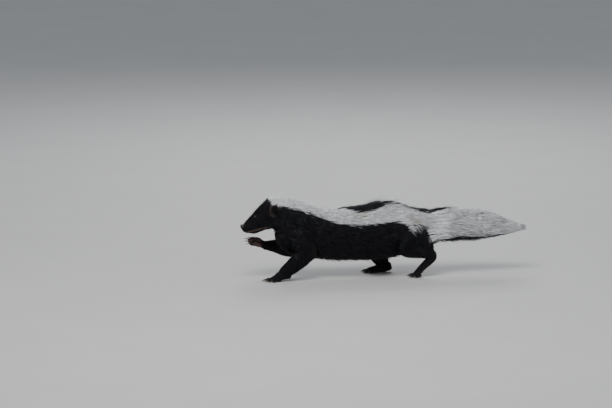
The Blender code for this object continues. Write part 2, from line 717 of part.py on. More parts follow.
def make_head():
    """Head, nose pad, eyes and ears."""
    jowls = [ball_parts(on_head(*JOWL_PLACE, side), JOWL_RADII) for side in (LEFT, RIGHT)]
    neck = tube_parts(midline_rows(TRUNK_ROWS)[:THROAT_ROWS], 32, 4, power=2.15)
    head = fuse("head", [tube_parts(head_rows(), 28, 4, power=2.1), neck, *jowls], HEAD_VOXEL, 8, HEAD_TRIANGLES)
    point, back = tilted_plane(HEAD_CUT, HEAD_CUT_TILT)
    cut_plane(head, point - back * (GAP / 2), back)
    made = [head]
    for side, word in ((LEFT, "left"), (RIGHT, "right")):
        centre = on_head(*EYE_PLACE, side)
        gaze = (Vector((0, side, 0)) - HEAD_AXIS * 0.45 + HEAD_UP * 0.15).normalized()
        lids = ring_parts(centre + gaze * LID_FORWARD, gaze, HEAD_UP, LID_RADII, LID_THICKNESS)
        combine(head, new_object("lids", lids), "UNION")
        socket = new_object("socket", ball_parts(centre, [EYE_RADIUS + GAP] * 3, None, 10, 7))
        combine(head, socket, "DIFFERENCE")
        eye = new_object(f"eye_{word}", ball_parts(centre, [EYE_RADIUS] * 3, None, 10, 7))
        made.append(eye)
    combine(head, mouth_cutter(), "DIFFERENCE")
    nose = make_nose(head)
    made.append(nose)
    shell = grown(head, GAP, "head_shell")
    for side, word in ((LEFT, "left"), (RIGHT, "right")):
        ear = new_object(f"ear_{word}", ear_parts(side))
        combine(ear, copy_of(shell, "ear_cutter"), "DIFFERENCE")
        made.append(ear)
    remove(shell)
    return made


def mouth_cutter():
    """A thin bent blade that scores the line of the mouth round the front of the muzzle."""
    steps = 12
    points, faces = [], []
    for i in range(steps + 1):
        turn = math.pi * (i / steps - 0.5)
        along = MOUTH_TO - (MOUTH_TO - MOUTH_FROM) * math.cos(turn)
        share = math.cos(turn)
        drop = MOUTH_DROP_BACK + (MOUTH_DROP_FRONT - MOUTH_DROP_BACK) * share
        wide = (0.0165 - 0.0045 * share) * math.sin(turn)
        inner = on_head(along + 0.0025 * share, drop, wide * 0.80)
        outer = on_head(along - 0.0070 * share, drop, wide * 1.25)
        for lift in (-MOUTH_GROOVE / 2, MOUTH_GROOVE / 2):
            points += [inner + HEAD_UP * lift, outer + HEAD_UP * lift]
    for i in range(steps):
        a, b = i * 4, i * 4 + 4
        faces += [(a, a + 1, b + 1, b), (a + 2, b + 2, b + 3, a + 3)]
        faces += [(a, b, b + 2, a + 2), (a + 1, a + 3, b + 3, b + 1)]
    last = steps * 4
    faces += [(0, 2, 3, 1), (last, last + 1, last + 3, last + 2)]
    return new_object("mouth_line", (points, faces))


def make_nose(head):
    """The bare nose pad, seated in the head, with two nostrils."""
    turn = Matrix.Rotation(-HEAD_TILT, 3, "Y")
    centre = on_head(*NOSE_PLACE)
    nose = new_object("nose_pad", ball_parts(centre, NOSE_RADII, turn, 12, 7))
    socket = new_object("nose_socket", ball_parts(centre, [r + GAP for r in NOSE_RADII], turn, 12, 7))
    combine(head, socket, "DIFFERENCE")
    for side in (LEFT, RIGHT):
        forward, aside, drop = NOSTRIL_PLACE
        place = centre - HEAD_AXIS * forward + Vector((0, side * aside, 0)) - HEAD_UP * drop
        nostril = ball_parts(place, NOSTRIL_RADII, turn, 8, 5)
        combine(nose, new_object("nostril", nostril), "DIFFERENCE")
    return nose


def paw_frame(forward, roll=0.0, side=1.0):
    """The directions along a paw, across it and up from its sole."""
    forward = Vector(forward).normalized()
    across = Vector((0, 1, 0))
    across = (across - forward * across.dot(forward)).normalized()
    up = across.cross(forward)
    if up.z < 0:
        up = -up
    turn = Matrix.Rotation(roll * side, 3, forward)
    return forward, turn @ across, turn @ up


def toe_rows(base, direction, up, length, radius):
    """A toe from inside the paw to its tip, arched a little."""
    rows = []
    for share, lift, size in ((-0.45, 0.0004, 1.0), (0.2, 0.0010, 1.0), (0.7, 0.0006, 0.98), (1.0, -0.0004, 0.82)):
        reach = radius * size
        rows.append((*(base + direction * (length * share) + up * lift), reach, reach, reach))
    return rows


def claw_rows(root, direction, up, length, grow=0.0):
    """A claw from its root in the toe, curving down to a point."""
    rows = []
    for share, drop, size in ((0.0, 0.0, 1.0), (0.35, 0.02, 0.92), (0.7, 0.11, 0.62), (1.0, 0.27, 0.2)):
        thick = CLAW_RADIUS * size + grow
        point = root + direction * (length * share) - up * (length * drop)
        rows.append((*point, thick, thick * 1.15, thick * 1.15))
    return rows


def make_paw(name, wrist, sizes, frames, stations, spread=TOE_SPREAD):
    """A paw with its five toes, and its claws seated in them. frames holds the paw's directions and the toes'."""
    (forward, across, up), (toe_forward, toe_across, toe_up), side = frames
    palm = [(*(wrist + forward * along + up * lift), half, above, below)
            for along, lift, half, above, below in stations]
    tip = wrist + forward * stations[-1][0] + up * stations[-1][1]
    forms = [tube_parts(palm, 20, 3)]
    claws = []
    for i in range(TOES):
        place = i - (TOES - 1) / 2
        inner = place * side == -(TOES - 1) / 2
        shorter = 1.0 - TOE_TAPER * abs(place) ** 1.5 - (INNER_TOE_SHORTER if inner else 0.0)
        angle = spread * place
        direction = (toe_forward * math.cos(angle) + toe_across * math.sin(angle)).normalized()
        base = (tip + toe_across * (place * sizes["half_width"] * TOE_STEP)
                - toe_forward * (TOE_SET_BACK * place * place) - toe_up * TOE_SINK)
        length = sizes["toe"] * shorter
        forms.append(tube_parts(toe_rows(base, direction, toe_up, length, sizes["toe_radius"]), 12, 3))
        root = base + direction * (length + CLAW_REACH - CLAW_SINK) + toe_up * CLAW_LIFT
        claws.append((root, direction))
    paw = fuse(name, forms, PAW_VOXEL, 3, PAW_TRIANGLES)
    made = [paw]
    for i, (root, direction) in enumerate(claws):
        seat = claw_rows(root - direction * GAP, direction, toe_up, sizes["claw"], GAP)[:2]
        socket = tube_parts(seat, CLAW_SIDES, 1, dome=0)
        combine(paw, new_object("claw_socket", socket), "DIFFERENCE")
        claw = tube_parts(claw_rows(root, direction, toe_up, sizes["claw"]), CLAW_SIDES, 1, dome=0)
        made.append(new_object(f"claw_{name}_{i + 1}", claw))
    return made


def level_sole(objects):
    """Cuts what reaches below the floor, so that the soles are flat at z = 0."""
    for obj in objects:
        if min(v.co.z for v in obj.data.vertices) < 0:
            cut_plane(obj, Vector((0, 0, 0)), Vector((0, 0, -1)))


# Paw stations: along the paw from wrist or heel, lift, half width, above, below
FOREPAW_ROWS = ((-0.0150, -0.0012, 0.0108, 0.0100, 0.0134), (0.0030, -0.0034, 0.0114, 0.0095, 0.0118),
                (0.0140, -0.0085, 0.0118, 0.0078, 0.0090), (0.0230, -0.0115, 0.0115, 0.0058, 0.0070))
LIFTED_ROWS = ((-0.0060, -0.0008, 0.0095, 0.0090, 0.0090), (0.0050, 0.0000, 0.0105, 0.0080, 0.0085),
               (0.0150, 0.0000, 0.0115, 0.0070, 0.0080), (0.0230, 0.0000, 0.0115, 0.0055, 0.0062))
HINDPAW_FLAT_ROWS = ((-0.0060, 0.0000, 0.0092, 0.0100, 0.0095), (0.0080, -0.0030, 0.0100, 0.0105, 0.0095),
                     (0.0240, -0.0065, 0.0112, 0.0082, 0.0085), (0.0380, -0.0090, 0.0120, 0.0062, 0.0070))
HINDPAW_RAISED_ROWS = ((-0.0040, 0.0000, 0.0092, 0.0095, 0.0095), (0.0130, -0.0005, 0.0100, 0.0088, 0.0090),
                       (0.0310, 0.0000, 0.0112, 0.0076, 0.0078), (0.0492, 0.0000, 0.0118, 0.0060, 0.0064))


def make_paws():
    """The four paws: two forepaws, one of them lifted, and two hind ones, one of them on its toes."""
    flat = paw_frame((-1, 0, 0))
    made = {}
    wrist = Vector((-0.2290, 0.0340 * LEFT, 0.0160))
    frames = (paw_frame((-1, 0, -0.02)), flat, LEFT)
    made["forepaw_left"] = make_paw("forepaw_left", wrist, FOREPAW, frames, FOREPAW_ROWS)

    wrist = Vector((-0.2600, 0.0320 * RIGHT, 0.0695))
    lifted = paw_frame((-0.92, 0.0, 0.36), roll=LIFTED_ROLL)
    made["forepaw_right"] = make_paw("forepaw_right", wrist, FOREPAW, (lifted, lifted, RIGHT), LIFTED_ROWS,
                                     TOE_SPREAD / 2)

    heel = Vector((0.0130, 0.0350 * RIGHT, 0.0130))
    made["hindpaw_right"] = make_paw("hindpaw_right", heel, HINDPAW, (paw_frame((-1, 0, 0)), flat, RIGHT),
                                     HINDPAW_FLAT_ROWS)

    heel = Vector((0.0990, 0.0360 * LEFT, 0.0395))
    raised = paw_frame((-0.0345, 0.0, -0.0350))
    made["hindpaw_left"] = make_paw("hindpaw_left", heel, HINDPAW, (raised, flat, LEFT), HINDPAW_RAISED_ROWS)
    return made


def join_paws(body, paws):
    """Cuts each leg and its paw at one plane, so that they meet face to face."""
    for leg, paw, point, direction in (
            ("foreleg_left", "forepaw_left", (-0.2275, 0, 0.0170), (-0.80, 0, -0.60)),
            ("foreleg_right", "forepaw_right", (-0.2600, 0, 0.0695), (-0.95, 0, 0.30)),
            ("hindleg_left", "hindpaw_left", (0.1000, 0, 0.0415), (0.19, 0, -0.98)),
            ("hindleg_right", "hindpaw_right", (0.0080, 0, 0.0170), (0.0, 0, -1.0))):
        way = Vector(direction).normalized()
        cut_plane(body[leg], Vector(point) - way * (GAP / 2), way)
        cut_plane(paws[paw][0], Vector(point) + way * (GAP / 2), -way)


def finish(objects):
    """Names, materials and smooth shading."""
    looks = {"coat_black": COAT_BLACK, "coat_white": COAT_WHITE, "bare_skin": BARE_SKIN,
             "nose_skin": NOSE_SKIN, "eye_dark": EYE_DARK, "claw_horn": CLAW_HORN}
    made = {name: material(name, look) for name, look in looks.items()}
    for obj in objects:
        kind = obj.name.split("_")[0]
        slots = {"eye": "eye_dark", "claw": "claw_horn", "nose": "nose_skin", "tail": "coat_white"}
        slot = slots.get(kind, "coat_black")
        obj.data.materials.clear()
        obj.data.materials.append(made[slot])
        obj.data.shade_smooth()
        obj.data.set_sharp_from_angle(angle=math.radians(40.0))


def centre_at_origin(objects):
    """Moves everything so that the origin is under the middle of the whole, on the floor."""
    low = Vector((min(v.co[i] for obj in objects for v in obj.data.vertices) for i in range(3)))
    high = Vector((max(v.co[i] for obj in objects for v in obj.data.vertices) for i in range(3)))
    shift = Vector((-(low.x + high.x) / 2, -(low.y + high.y) / 2, -low.z))
    for obj in objects:
        obj.data.transform(Matrix.Translation(shift))


def main():
    clear_scene()
    body = split_body(make_body())
    paws = make_paws()
    join_paws(body, paws)
    objects = list(body.values()) + make_tail() + make_head()
    for several in paws.values():
        level_sole(several)
        objects += several
    finish(objects)
    centre_at_origin(objects)


main()
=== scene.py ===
"""The striped skunk's looks: one skin over the body, a coat of fine tufts, and its eyes, nose and claws.

Lengths are in metres. The animal faces -X, its left side is -Y, up is +Z, and the floor is z = 0. Shapes are
made in the body's own place and moved to the model's by one shift, measured on an eye.
"""
import math
from collections import namedtuple

import bmesh
import bpy
import numpy as np
from mathutils import Matrix, Vector
from mathutils.bvhtree import BVHTree
from mathutils.kdtree import KDTree


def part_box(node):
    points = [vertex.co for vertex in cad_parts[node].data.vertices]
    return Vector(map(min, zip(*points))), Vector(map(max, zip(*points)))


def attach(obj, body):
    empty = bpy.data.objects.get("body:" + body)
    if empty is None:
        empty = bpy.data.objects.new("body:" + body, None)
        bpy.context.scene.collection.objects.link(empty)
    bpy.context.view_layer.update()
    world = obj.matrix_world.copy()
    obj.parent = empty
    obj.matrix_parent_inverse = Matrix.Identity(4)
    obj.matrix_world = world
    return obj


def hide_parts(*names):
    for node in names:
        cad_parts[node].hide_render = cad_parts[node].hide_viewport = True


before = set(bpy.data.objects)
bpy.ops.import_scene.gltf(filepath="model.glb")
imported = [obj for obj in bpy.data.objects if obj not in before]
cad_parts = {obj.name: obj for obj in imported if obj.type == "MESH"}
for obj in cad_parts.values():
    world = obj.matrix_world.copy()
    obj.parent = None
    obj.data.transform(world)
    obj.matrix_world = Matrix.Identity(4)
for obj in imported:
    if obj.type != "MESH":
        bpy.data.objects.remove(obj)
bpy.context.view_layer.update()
LEFT, RIGHT = -1.0, 1.0

# Head: the axis runs from the nose tip back and up to the nape
NOSE_TIP = Vector((-0.3175, 0.0, 0.1165))
HEAD_TILT = math.radians(27.0)
HEAD_AXIS = Vector((math.cos(HEAD_TILT), 0.0, math.sin(HEAD_TILT)))
HEAD_UP = Vector((-math.sin(HEAD_TILT), 0.0, math.cos(HEAD_TILT)))

# Head stations: distance behind the nose tip, height off the axis, half width, up, down
HEAD_ROWS = {
    "nose": (0.0040, -0.0010, 0.0070, 0.0060, 0.0080),
    "muzzle_tip": (0.0100, -0.0038, 0.0102, 0.0100, 0.0145),
    "muzzle": (0.0210, -0.0050, 0.0128, 0.0165, 0.0218),
    "stop": (0.0330, -0.0055, 0.0168, 0.0208, 0.0236),
    "brow": (0.0450, -0.0055, 0.0215, 0.0255, 0.0252),
    "cheek": (0.0590, -0.0055, 0.0260, 0.0303, 0.0275),
    "crown": (0.0740, -0.0055, 0.0285, 0.0336, 0.0305),
    "nape": (0.0900, -0.0065, 0.0300, 0.0338, 0.0340),
    "inside_neck": (0.1080, -0.0085, 0.0290, 0.0230, 0.0300),
}
NOSE_PLACE = (0.0037, 0.0000)
NOSE_RADII = (0.0050, 0.0062, 0.0050)
EYE_RADIUS = 0.0042
EYE_PLACE = (0.0372, 0.0082, 0.0111)
EAR_PLACE = (0.0795, 0.0035, 0.0318)
EAR_HEIGHT = 0.0235
EAR_WIDTH = 0.0205
EAR_DEPTH = 0.0060
EAR_THICKNESS = 0.0022
EAR_RIM_THINNER = 0.30            # share by which the ear thins at its rim
EAR_TOP_FLATTER = 0.55            # share by which its cup is shallower at the top
FACE_SWELLS = {                   # along the head, up, out, and the radii of the swell
    "jowl": ((0.0150, -0.0085, 0.0048), (0.0085, 0.0056, 0.0072)),
    "cheek": ((0.0520, -0.0150, 0.0150), (0.0150, 0.0085, 0.0125)),
}
MOUTH_FROM, MOUTH_TO = 0.0035, 0.0420
MOUTH_DROP_FRONT, MOUTH_DROP_BACK = -0.0130, -0.0200
MOUTH_RIDGES = {                  # height on the skin, then place above the line of the mouth and width
    "groove": (-0.0011, (0.0, 0.0006)),
    "upper_lip": (0.0005, (0.0017, 0.0011)),
    "lower_lip": (0.0006, (-0.0018, 0.0010)),
}
LID_ACROSS, LID_TALL = 0.74, 0.56      # half size of the gap between the lids, as shares of the eye's radius
LID_RADIUS = EYE_RADIUS + 0.0007
LID_RIM = 0.0003                       # height of the swelling round the gap
LID_REACH = 0.0095                     # how far round the eye the lids shape the face
LID_SLANT = 0.10
SOCKET_DEPTH = 0.78                    # of the skin behind the eyeball, as a share of the eye's radius
BEHIND_EYE = 9.0                       # more than any point in front of the eye has as its gap
CORNEA_BULGE = 0.045
NOSTRIL_ASIDE = 0.0031

# Trunk stations, out to the tips of the coat: x, height of the centre, half width, up, down
TRUNK_ROWS = {
    "inside_head": (-0.2500, 0.1370, 0.0270, 0.0300, 0.0250),
    "jaw_angle": (-0.2400, 0.1370, 0.0295, 0.0375, 0.0300),
    "throat": (-0.2270, 0.1370, 0.0312, 0.0440, 0.0385),
    "neck": (-0.2110, 0.1290, 0.0360, 0.0510, 0.0545),
    "shoulder": (-0.1830, 0.1110, 0.0430, 0.0575, 0.0610),
    "withers": (-0.1500, 0.1020, 0.0460, 0.0550, 0.0585),
    "chest": (-0.1190, 0.0975, 0.0480, 0.0555, 0.0580),
    "waist": (-0.0600, 0.0975, 0.0500, 0.0590, 0.0610),
    "belly": (0.0000, 0.1000, 0.0540, 0.0605, 0.0615),
    "hips": (0.0380, 0.1030, 0.0550, 0.0500, 0.0555),
    "rump": (0.0700, 0.1060, 0.0460, 0.0430, 0.0430),
    "tail_root": (0.0960, 0.1080, 0.0320, 0.0400, 0.0330),
}

# Tail stations: the outline of its plume, and the slender tail inside it
TAIL_ROWS = {
    "inside_rump": (0.0700, 0.1120, 0.0300, 0.0290, 0.0290),
    "base": (0.0900, 0.1110, 0.0330, 0.0370, 0.0330),
    "first": (0.1200, 0.1120, 0.0370, 0.0385, 0.0375),
    "second": (0.1600, 0.1100, 0.0390, 0.0395, 0.0385),
    "middle": (0.2000, 0.1080, 0.0360, 0.0400, 0.0375),
    "third": (0.2400, 0.1040, 0.0280, 0.0345, 0.0280),
    "fourth": (0.2800, 0.1005, 0.0165, 0.0195, 0.0165),
    "tip": (0.3180, 0.0980, 0.0045, 0.0055, 0.0045),
}
TAIL_FLESH_ROWS = {
    "inside_rump": (0.0600, 0.1080, 0.0260, 0.0250, 0.0260),
    "base": (0.0900, 0.1110, 0.0190, 0.0200, 0.0190),
    "first": (0.1150, 0.1115, 0.0130, 0.0135, 0.0130),
    "second": (0.1450, 0.1105, 0.0105, 0.0105, 0.0105),
    "middle": (0.1900, 0.1085, 0.0085, 0.0085, 0.0085),
    "third": (0.2350, 0.1040, 0.0060, 0.0060, 0.0060),
    "end": (0.2700, 0.1010, 0.0030, 0.0030, 0.0030),
}

# Limb stations: x, distance from the midline, z, half width, behind, in front
FORELEG_PLANTED = {
    "shoulder": (-0.1930, 0.0240, 0.1050, 0.0200, 0.0280, 0.0280),
    "upper_arm": (-0.1830, 0.0310, 0.0820, 0.0185, 0.0230, 0.0250),
    "elbow": (-0.1790, 0.0345, 0.0610, 0.0160, 0.0200, 0.0200),
    "forearm": (-0.2050, 0.0345, 0.0370, 0.0140, 0.0185, 0.0165),
    "wrist": (-0.2270, 0.0340, 0.0205, 0.0118, 0.0150, 0.0120),
    "inside_paw": (-0.2330, 0.0340, 0.0140, 0.0090, 0.0085, 0.0080),
}
FORELEG_LIFTED = {
    "shoulder": (-0.1950, 0.0240, 0.1050, 0.0200, 0.0280, 0.0280),
    "upper_arm": (-0.1960, 0.0300, 0.0800, 0.0190, 0.0250, 0.0240),
    "elbow": (-0.2030, 0.0330, 0.0610, 0.0170, 0.0200, 0.0200),
    "forearm": (-0.2350, 0.0335, 0.0660, 0.0130, 0.0145, 0.0145),
    "wrist": (-0.2580, 0.0320, 0.0690, 0.0100, 0.0098, 0.0098),
    "inside_paw": (-0.2660, 0.0315, 0.0715, 0.0090, 0.0080, 0.0080),
}
HINDLEG_TRAILING = {
    "hip": (0.0560, 0.0260, 0.1080, 0.0250, 0.0330, 0.0330),
    "thigh": (0.0520, 0.0350, 0.0830, 0.0240, 0.0330, 0.0330),
    "knee": (0.0480, 0.0385, 0.0665, 0.0190, 0.0215, 0.0215),
    "shank": (0.0770, 0.0380, 0.0565, 0.0140, 0.0135, 0.0140),
    "hock": (0.1000, 0.0365, 0.0460, 0.0100, 0.0108, 0.0105),
    "inside_paw": (0.1010, 0.0360, 0.0400, 0.0085, 0.0085, 0.0085),
}
HAMSTRING_TRAILING = {
    "hip": (0.0640, 0.0250, 0.1050, 0.0230, 0.0260, 0.0260),
    "thigh": (0.0800, 0.0320, 0.0800, 0.0180, 0.0200, 0.0200),
    "knee": (0.0930, 0.0360, 0.0570, 0.0110, 0.0120, 0.0120),
}
HINDLEG_PLANTED = {
    "hip": (0.0500, 0.0260, 0.1060, 0.0250, 0.0330, 0.0330),
    "thigh": (0.0260, 0.0350, 0.0800, 0.0240, 0.0320, 0.0320),
    "knee": (-0.0020, 0.0385, 0.0560, 0.0195, 0.0250, 0.0280),
    "shank": (-0.0010, 0.0370, 0.0350, 0.0145, 0.0185, 0.0205),
    "hock": (0.0080, 0.0350, 0.0180, 0.0105, 0.0110, 0.0120),
    "inside_paw": (0.0080, 0.0350, 0.0120, 0.0085, 0.0085, 0.0085),
}
LIMBS = ((LEFT, FORELEG_PLANTED), (RIGHT, FORELEG_LIFTED), (LEFT, HINDLEG_TRAILING),
         (LEFT, HAMSTRING_TRAILING), (RIGHT, HINDLEG_PLANTED))

# Paw stations: along the paw from wrist or heel, lift, half width, above, below
FOREPAW_ROWS = ((-0.0110, -0.0014, 0.0106, 0.0098, 0.0136), (0.0030, -0.0034, 0.0114, 0.0095, 0.0118),
                (0.0140, -0.0085, 0.0118, 0.0078, 0.0090), (0.0230, -0.0115, 0.0115, 0.0058, 0.0070))
LIFTED_ROWS = ((-0.0060, -0.0008, 0.0095, 0.0090, 0.0090), (0.0050, 0.0000, 0.0105, 0.0080, 0.0085),
               (0.0150, 0.0000, 0.0115, 0.0070, 0.0080), (0.0230, 0.0000, 0.0115, 0.0055, 0.0062))
HINDPAW_FLAT_ROWS = ((-0.0060, 0.0000, 0.0092, 0.0100, 0.0095), (0.0080, -0.0030, 0.0100, 0.0105, 0.0095),
                     (0.0240, -0.0065, 0.0112, 0.0082, 0.0085), (0.0380, -0.0090, 0.0120, 0.0062, 0.0070))
HINDPAW_RAISED_ROWS = ((-0.0040, 0.0000, 0.0092, 0.0095, 0.0095), (0.0130, -0.0005, 0.0100, 0.0088, 0.0090),
                       (0.0310, 0.0000, 0.0112, 0.0076, 0.0078), (0.0492, 0.0000, 0.0118, 0.0060, 0.0064))
FOREPAW = {"half_width": 0.0115, "toe": 0.0150, "toe_radius": 0.0034, "claw": 0.0125}
HINDPAW = {"half_width": 0.0115, "toe": 0.0125, "toe_radius": 0.0034, "claw": 0.0085}
PALM_INSET = (0.0009, 0.0009, 0.0006)   # of the skin under the paw's short hair: half width, above, below
TOES = 5
TOE_SPREAD = math.radians(13.0)
TOE_SHORTENING = 0.10             # of a toe next to the middle one, and more further out
INNER_TOE_SHORTER = 0.12          # on top of that
TOE_SPACING = 0.47                # as a share of the paw's half width
TOE_ARC = 0.0016                  # how far back a toe starts, times the square of its place from the middle
TOE_DROP = 0.0004
TOE_ROWS = ((-0.45, 0.0004, 0.92), (0.20, 0.0012, 0.90), (0.55, 0.0006, 0.80), (0.80, 0.0002, 0.88),
            (1.00, -0.0004, 0.74))          # share of the toe's length, lift, share of its radius
TOE_PAD_PLACE = (0.78, 0.50)      # along the toe and below it, as shares of its length and radius
TOE_PAD_RADII = (0.78, 0.72, 0.62)
SOLE_PADS = ((0.0000, -0.55, 1.00), (-0.0020, 0.00, 1.15), (0.0000, 0.55, 1.00), (0.0125, -0.35, 0.95),
             (0.0125, 0.35, 0.95))          # back from the toes, aside as a share of the half width, size
SOLE_PAD_RADII = (0.0042, 0.0038, 0.0030)
PALM_FROM, PALM_REACH = -0.0040, 0.0125     # along from the wrist, up or down: what counts as the palm
TOES_REACH, PAW_SIDE_REACH, CLAWS_REACH = 0.0210, 0.0240, 0.0300
SOLE_PAD_SINK = 0.0022
CLAW_RADIUS = 0.0014
CLAW_SINK = 0.0022
CLAW_DROP = 0.27                  # of the claw's tip, as a share of its length
CLAW_RINGS, CLAW_SIDES = 15, 14

# Parts of the body that the coat follows
HEAD, TRUNK, LIMB, PAW, EAR = range(5)
PARTS = 5

# Coat at each station: length of the hair, half width of a tuft, height of its tips over the skin
LENGTH, HALF, HEIGHT = range(3)
HEAD_COAT = {
    "nose": (0.0018, 0.00022, 0.0003),
    "muzzle_tip": (0.0026, 0.00024, 0.0005),
    "muzzle": (0.0036, 0.00026, 0.0008),
    "stop": (0.0046, 0.00028, 0.0011),
    "brow": (0.0058, 0.00030, 0.0014),
    "cheek": (0.0080, 0.00034, 0.0020),
    "crown": (0.0110, 0.00040, 0.0028),
    "nape": (0.0180, 0.00050, 0.0045),
    "inside_neck": (0.0230, 0.00055, 0.0060),
}
TRUNK_COAT = {
    "inside_head": (0.0200, 0.00050, 0.0050),
    "jaw_angle": (0.0210, 0.00050, 0.0052),
    "throat": (0.0200, 0.00052, 0.0046),
    "neck": (0.0290, 0.00060, 0.0070),
    "shoulder": (0.0330, 0.00065, 0.0080),
    "withers": (0.0350, 0.00065, 0.0085),
    "chest": (0.0360, 0.00065, 0.0085),
    "waist": (0.0370, 0.00065, 0.0090),
    "belly": (0.0390, 0.00070, 0.0095),
    "hips": (0.0420, 0.00070, 0.0100),
    "rump": (0.0460, 0.00075, 0.0105),
    "tail_root": (0.0500, 0.00075, 0.0110),
}
LIMB_COAT = {
    "shoulder": (0.0260, 0.00055, 0.0060),
    "upper_arm": (0.0200, 0.00050, 0.0048),
    "elbow": (0.0140, 0.00042, 0.0034),
    "forearm": (0.0100, 0.00038, 0.0024),
    "wrist": (0.0065, 0.00032, 0.0016),
    "hip": (0.0340, 0.00060, 0.0080),
    "thigh": (0.0270, 0.00055, 0.0062),
    "knee": (0.0180, 0.00048, 0.0042),
    "shank": (0.0110, 0.00040, 0.0026),
    "hock": (0.0070, 0.00034, 0.0017),
    "inside_paw": (0.0045, 0.00028, 0.0011),
}
PAW_COAT = (0.0036, 0.00026, 0.0008)
TOE_COAT = (0.0026, 0.00024, 0.0006)
EAR_COAT = (0.0038, 0.00026, 0.0007)
TAIL_HAIR = (0.0560, 0.00072)     # length and half width in the plume
TAIL_TIP = 0.3180                 # x past which the plume has no further stations
PLUME_DENSITY = 1.55e6            # tufts per square metre of the slender tail's skin
PLUME_DENSER = 1.30e6             # more of them towards the tip
PLUME_STEPS = 5
PLUME_EVERY = 18                  # tufts for one clump
COAT_LAYERS = {                   # points in a path, layers of tufts, pull of a clump, tufts for one clump
    "coat_short": {"steps": 3, "cover": 2.7, "gather": 0.25, "every": 9},
    "coat_long": {"steps": 4, "cover": 8.4, "gather": 0.50, "every": 14},
}
TUFT_FILL = 1.4                   # area of a tuft over its length times its half width

# Markings: x, and how far down from the top of the back each edge of the white lies, in degrees
STRIPE_LOWER = ((-0.236, 42), (-0.216, 41), (-0.195, 34), (-0.172, 34), (-0.148, 41), (-0.122, 49),
                (-0.102, 56), (-0.076, 62), (-0.050, 64), (0.000, 63), (0.016, 61), (0.034, 67), (0.046, 78),
                (0.060, 98), (0.078, 118), (0.096, 127), (0.140, 132), (0.200, 137), (0.250, 150),
                (0.266, 200))
STRIPE_UPPER = ((-0.120, -12), (-0.100, 2), (-0.080, 16), (-0.056, 30), (-0.010, 24), (0.014, 12), (0.040, 8),
                (0.060, 16), (0.080, 28), (0.104, 30), (0.130, 10), (0.145, -12))
BLAZE = (0.0112, 0.0750)          # along the head, the thin white line from nose to forehead
BLAZE_HALF_WIDTH = 0.0040
CAP_FROM = 0.0815                 # along the head, where the white of the nape starts
CAP_TURN = math.radians(44.0)
CAP_DROP = 0.0060                 # of the middle that its edge is measured round, under the head's axis
EDGE_BLUR = np.radians(7.0)       # to either side of an edge of the white
EDGE_DOUBT = 0.26                 # how much single tufts stray over that edge
BLAZE_END, HEAD_END, CAP_END = -0.250, -0.228, -0.215   # x where the head's markings give way to the trunk's
METRES_PER_DEGREE = 0.0009        # round the back
STAINS = ((-0.058, 37, 0.010), (0.056, 52, 0.009), (0.068, 66, 0.008))   # x, degrees down, reach

# Heights over the floor that tell neighbouring parts from each other
HEAD_ABOVE, CHIN_ABOVE, TAIL_ABOVE, LEGS_BELOW = 0.090, 0.085, 0.070, 0.135

SKIN_VOXEL = 0.0012
SKIN_SMOOTHING = (0.5, 5)  # strength and number of passes
END_DOME = 0.6           # height of a tube's round end, as a share of its mean reach
DOME_STEPS = 4
GRAVITY_LEAN = 0.20
LIE_SPREAD = 0.10
HANG = 0.0045            # how far the tips of the belly's hair hang
CREST = (-0.022, 0.042)  # x of its middle, and how far it goes either way
CREST_RISE = (0.004, 0.013)
LOOSE_SHARE = 0.07       # of the longer tufts, thinner and standing off the rest
LOOSE_FROM = 0.009       # length of the shortest hair that has loose tufts
ROOT_DEPTH = 0.0006      # of a tuft's root under the skin
CLUMP_WIDTH = 0.22       # of a clump's tips, as a share of its roots'
TUFT_PROFILE = ((0.0, 0.35, 0.75, 1.0), (0.75, 1.0, 0.72, 0.0))    # share of its length, share of its width
TUFT_THICKNESS = 0.5
FLOOR_GAP = 0.0004       # least height of the hair over the floor
NOSE_BARE = (0.0076, 0.0066)   # round the nose pad's middle: where hair is full, and where there is none
COAT_SEED, WHISKER_SEED = 5, 3
PART_BLEND = 0.0030      # distance over which one part's coat turns into the next one's
CHUNK = 20000            # points read at a time, to save memory
PATCH = 0.003            # size of a tuft's patch on the map
MOST_TRIANGLES = 190000  # in one piece of the coat
WHISKER_ROWS, WHISKERS_IN_ROW, BROW_WHISKERS = 3, 4, 3
WHISKER_STEPS = (0.0, 0.33, 0.66, 1.0)
WHISKER_HALF_WIDTH = 0.00016
WHISKER_THICKNESS = 0.8


def smoothstep(low, high, value):
    share = np.clip((value - low) / (high - low), 0.0, 1.0)
    return share * share * (3 - 2 * share)


def lengths(vectors):
    return np.linalg.norm(vectors, axis=-1, keepdims=True)


def unit(vectors):
    return vectors / np.maximum(lengths(vectors), 1e-12)


def bell(value, middle, width):
    """A smooth rise to 1 at the middle, which is nearly gone two widths away."""
    return np.exp(-((value - middle) / width) ** 2)


def smooth_rows(rows, per_span):
    """Rows of numbers on a Catmull-Rom curve through the given rows, in per_span steps between two."""
    rows = np.array(rows, float)
    ends = np.vstack([2 * rows[0] - rows[1], rows, 2 * rows[-1] - rows[-2]])
    out = []
    for i in range(len(rows) - 1):
        a, b, c, d = ends[i:i + 4]
        for k in range(per_span):
            t = k / per_span
            out.append(0.5 * (2 * b + (c - a) * t + (2 * a - 5 * b + 4 * c - d) * t ** 2
                              + (3 * b - a - 3 * c + d) * t ** 3))
    out.append(rows[-1])
    return np.array(out)


def ring_faces(rings, sides):
    """Faces between rings of points, and fans that close both ends on the two points after the rings."""
    faces = []
    for r in range(rings - 1):
        for k in range(sides):
            a, b = r * sides + k, r * sides + (k + 1) % sides
            faces.append((a, b, b + sides, a + sides))
    last, pole = (rings - 1) * sides, rings * sides
    for k in range(sides):
        after = (k + 1) % sides
        faces += [(pole, after, k), (pole + 1, last + k, last + after)]
    return faces


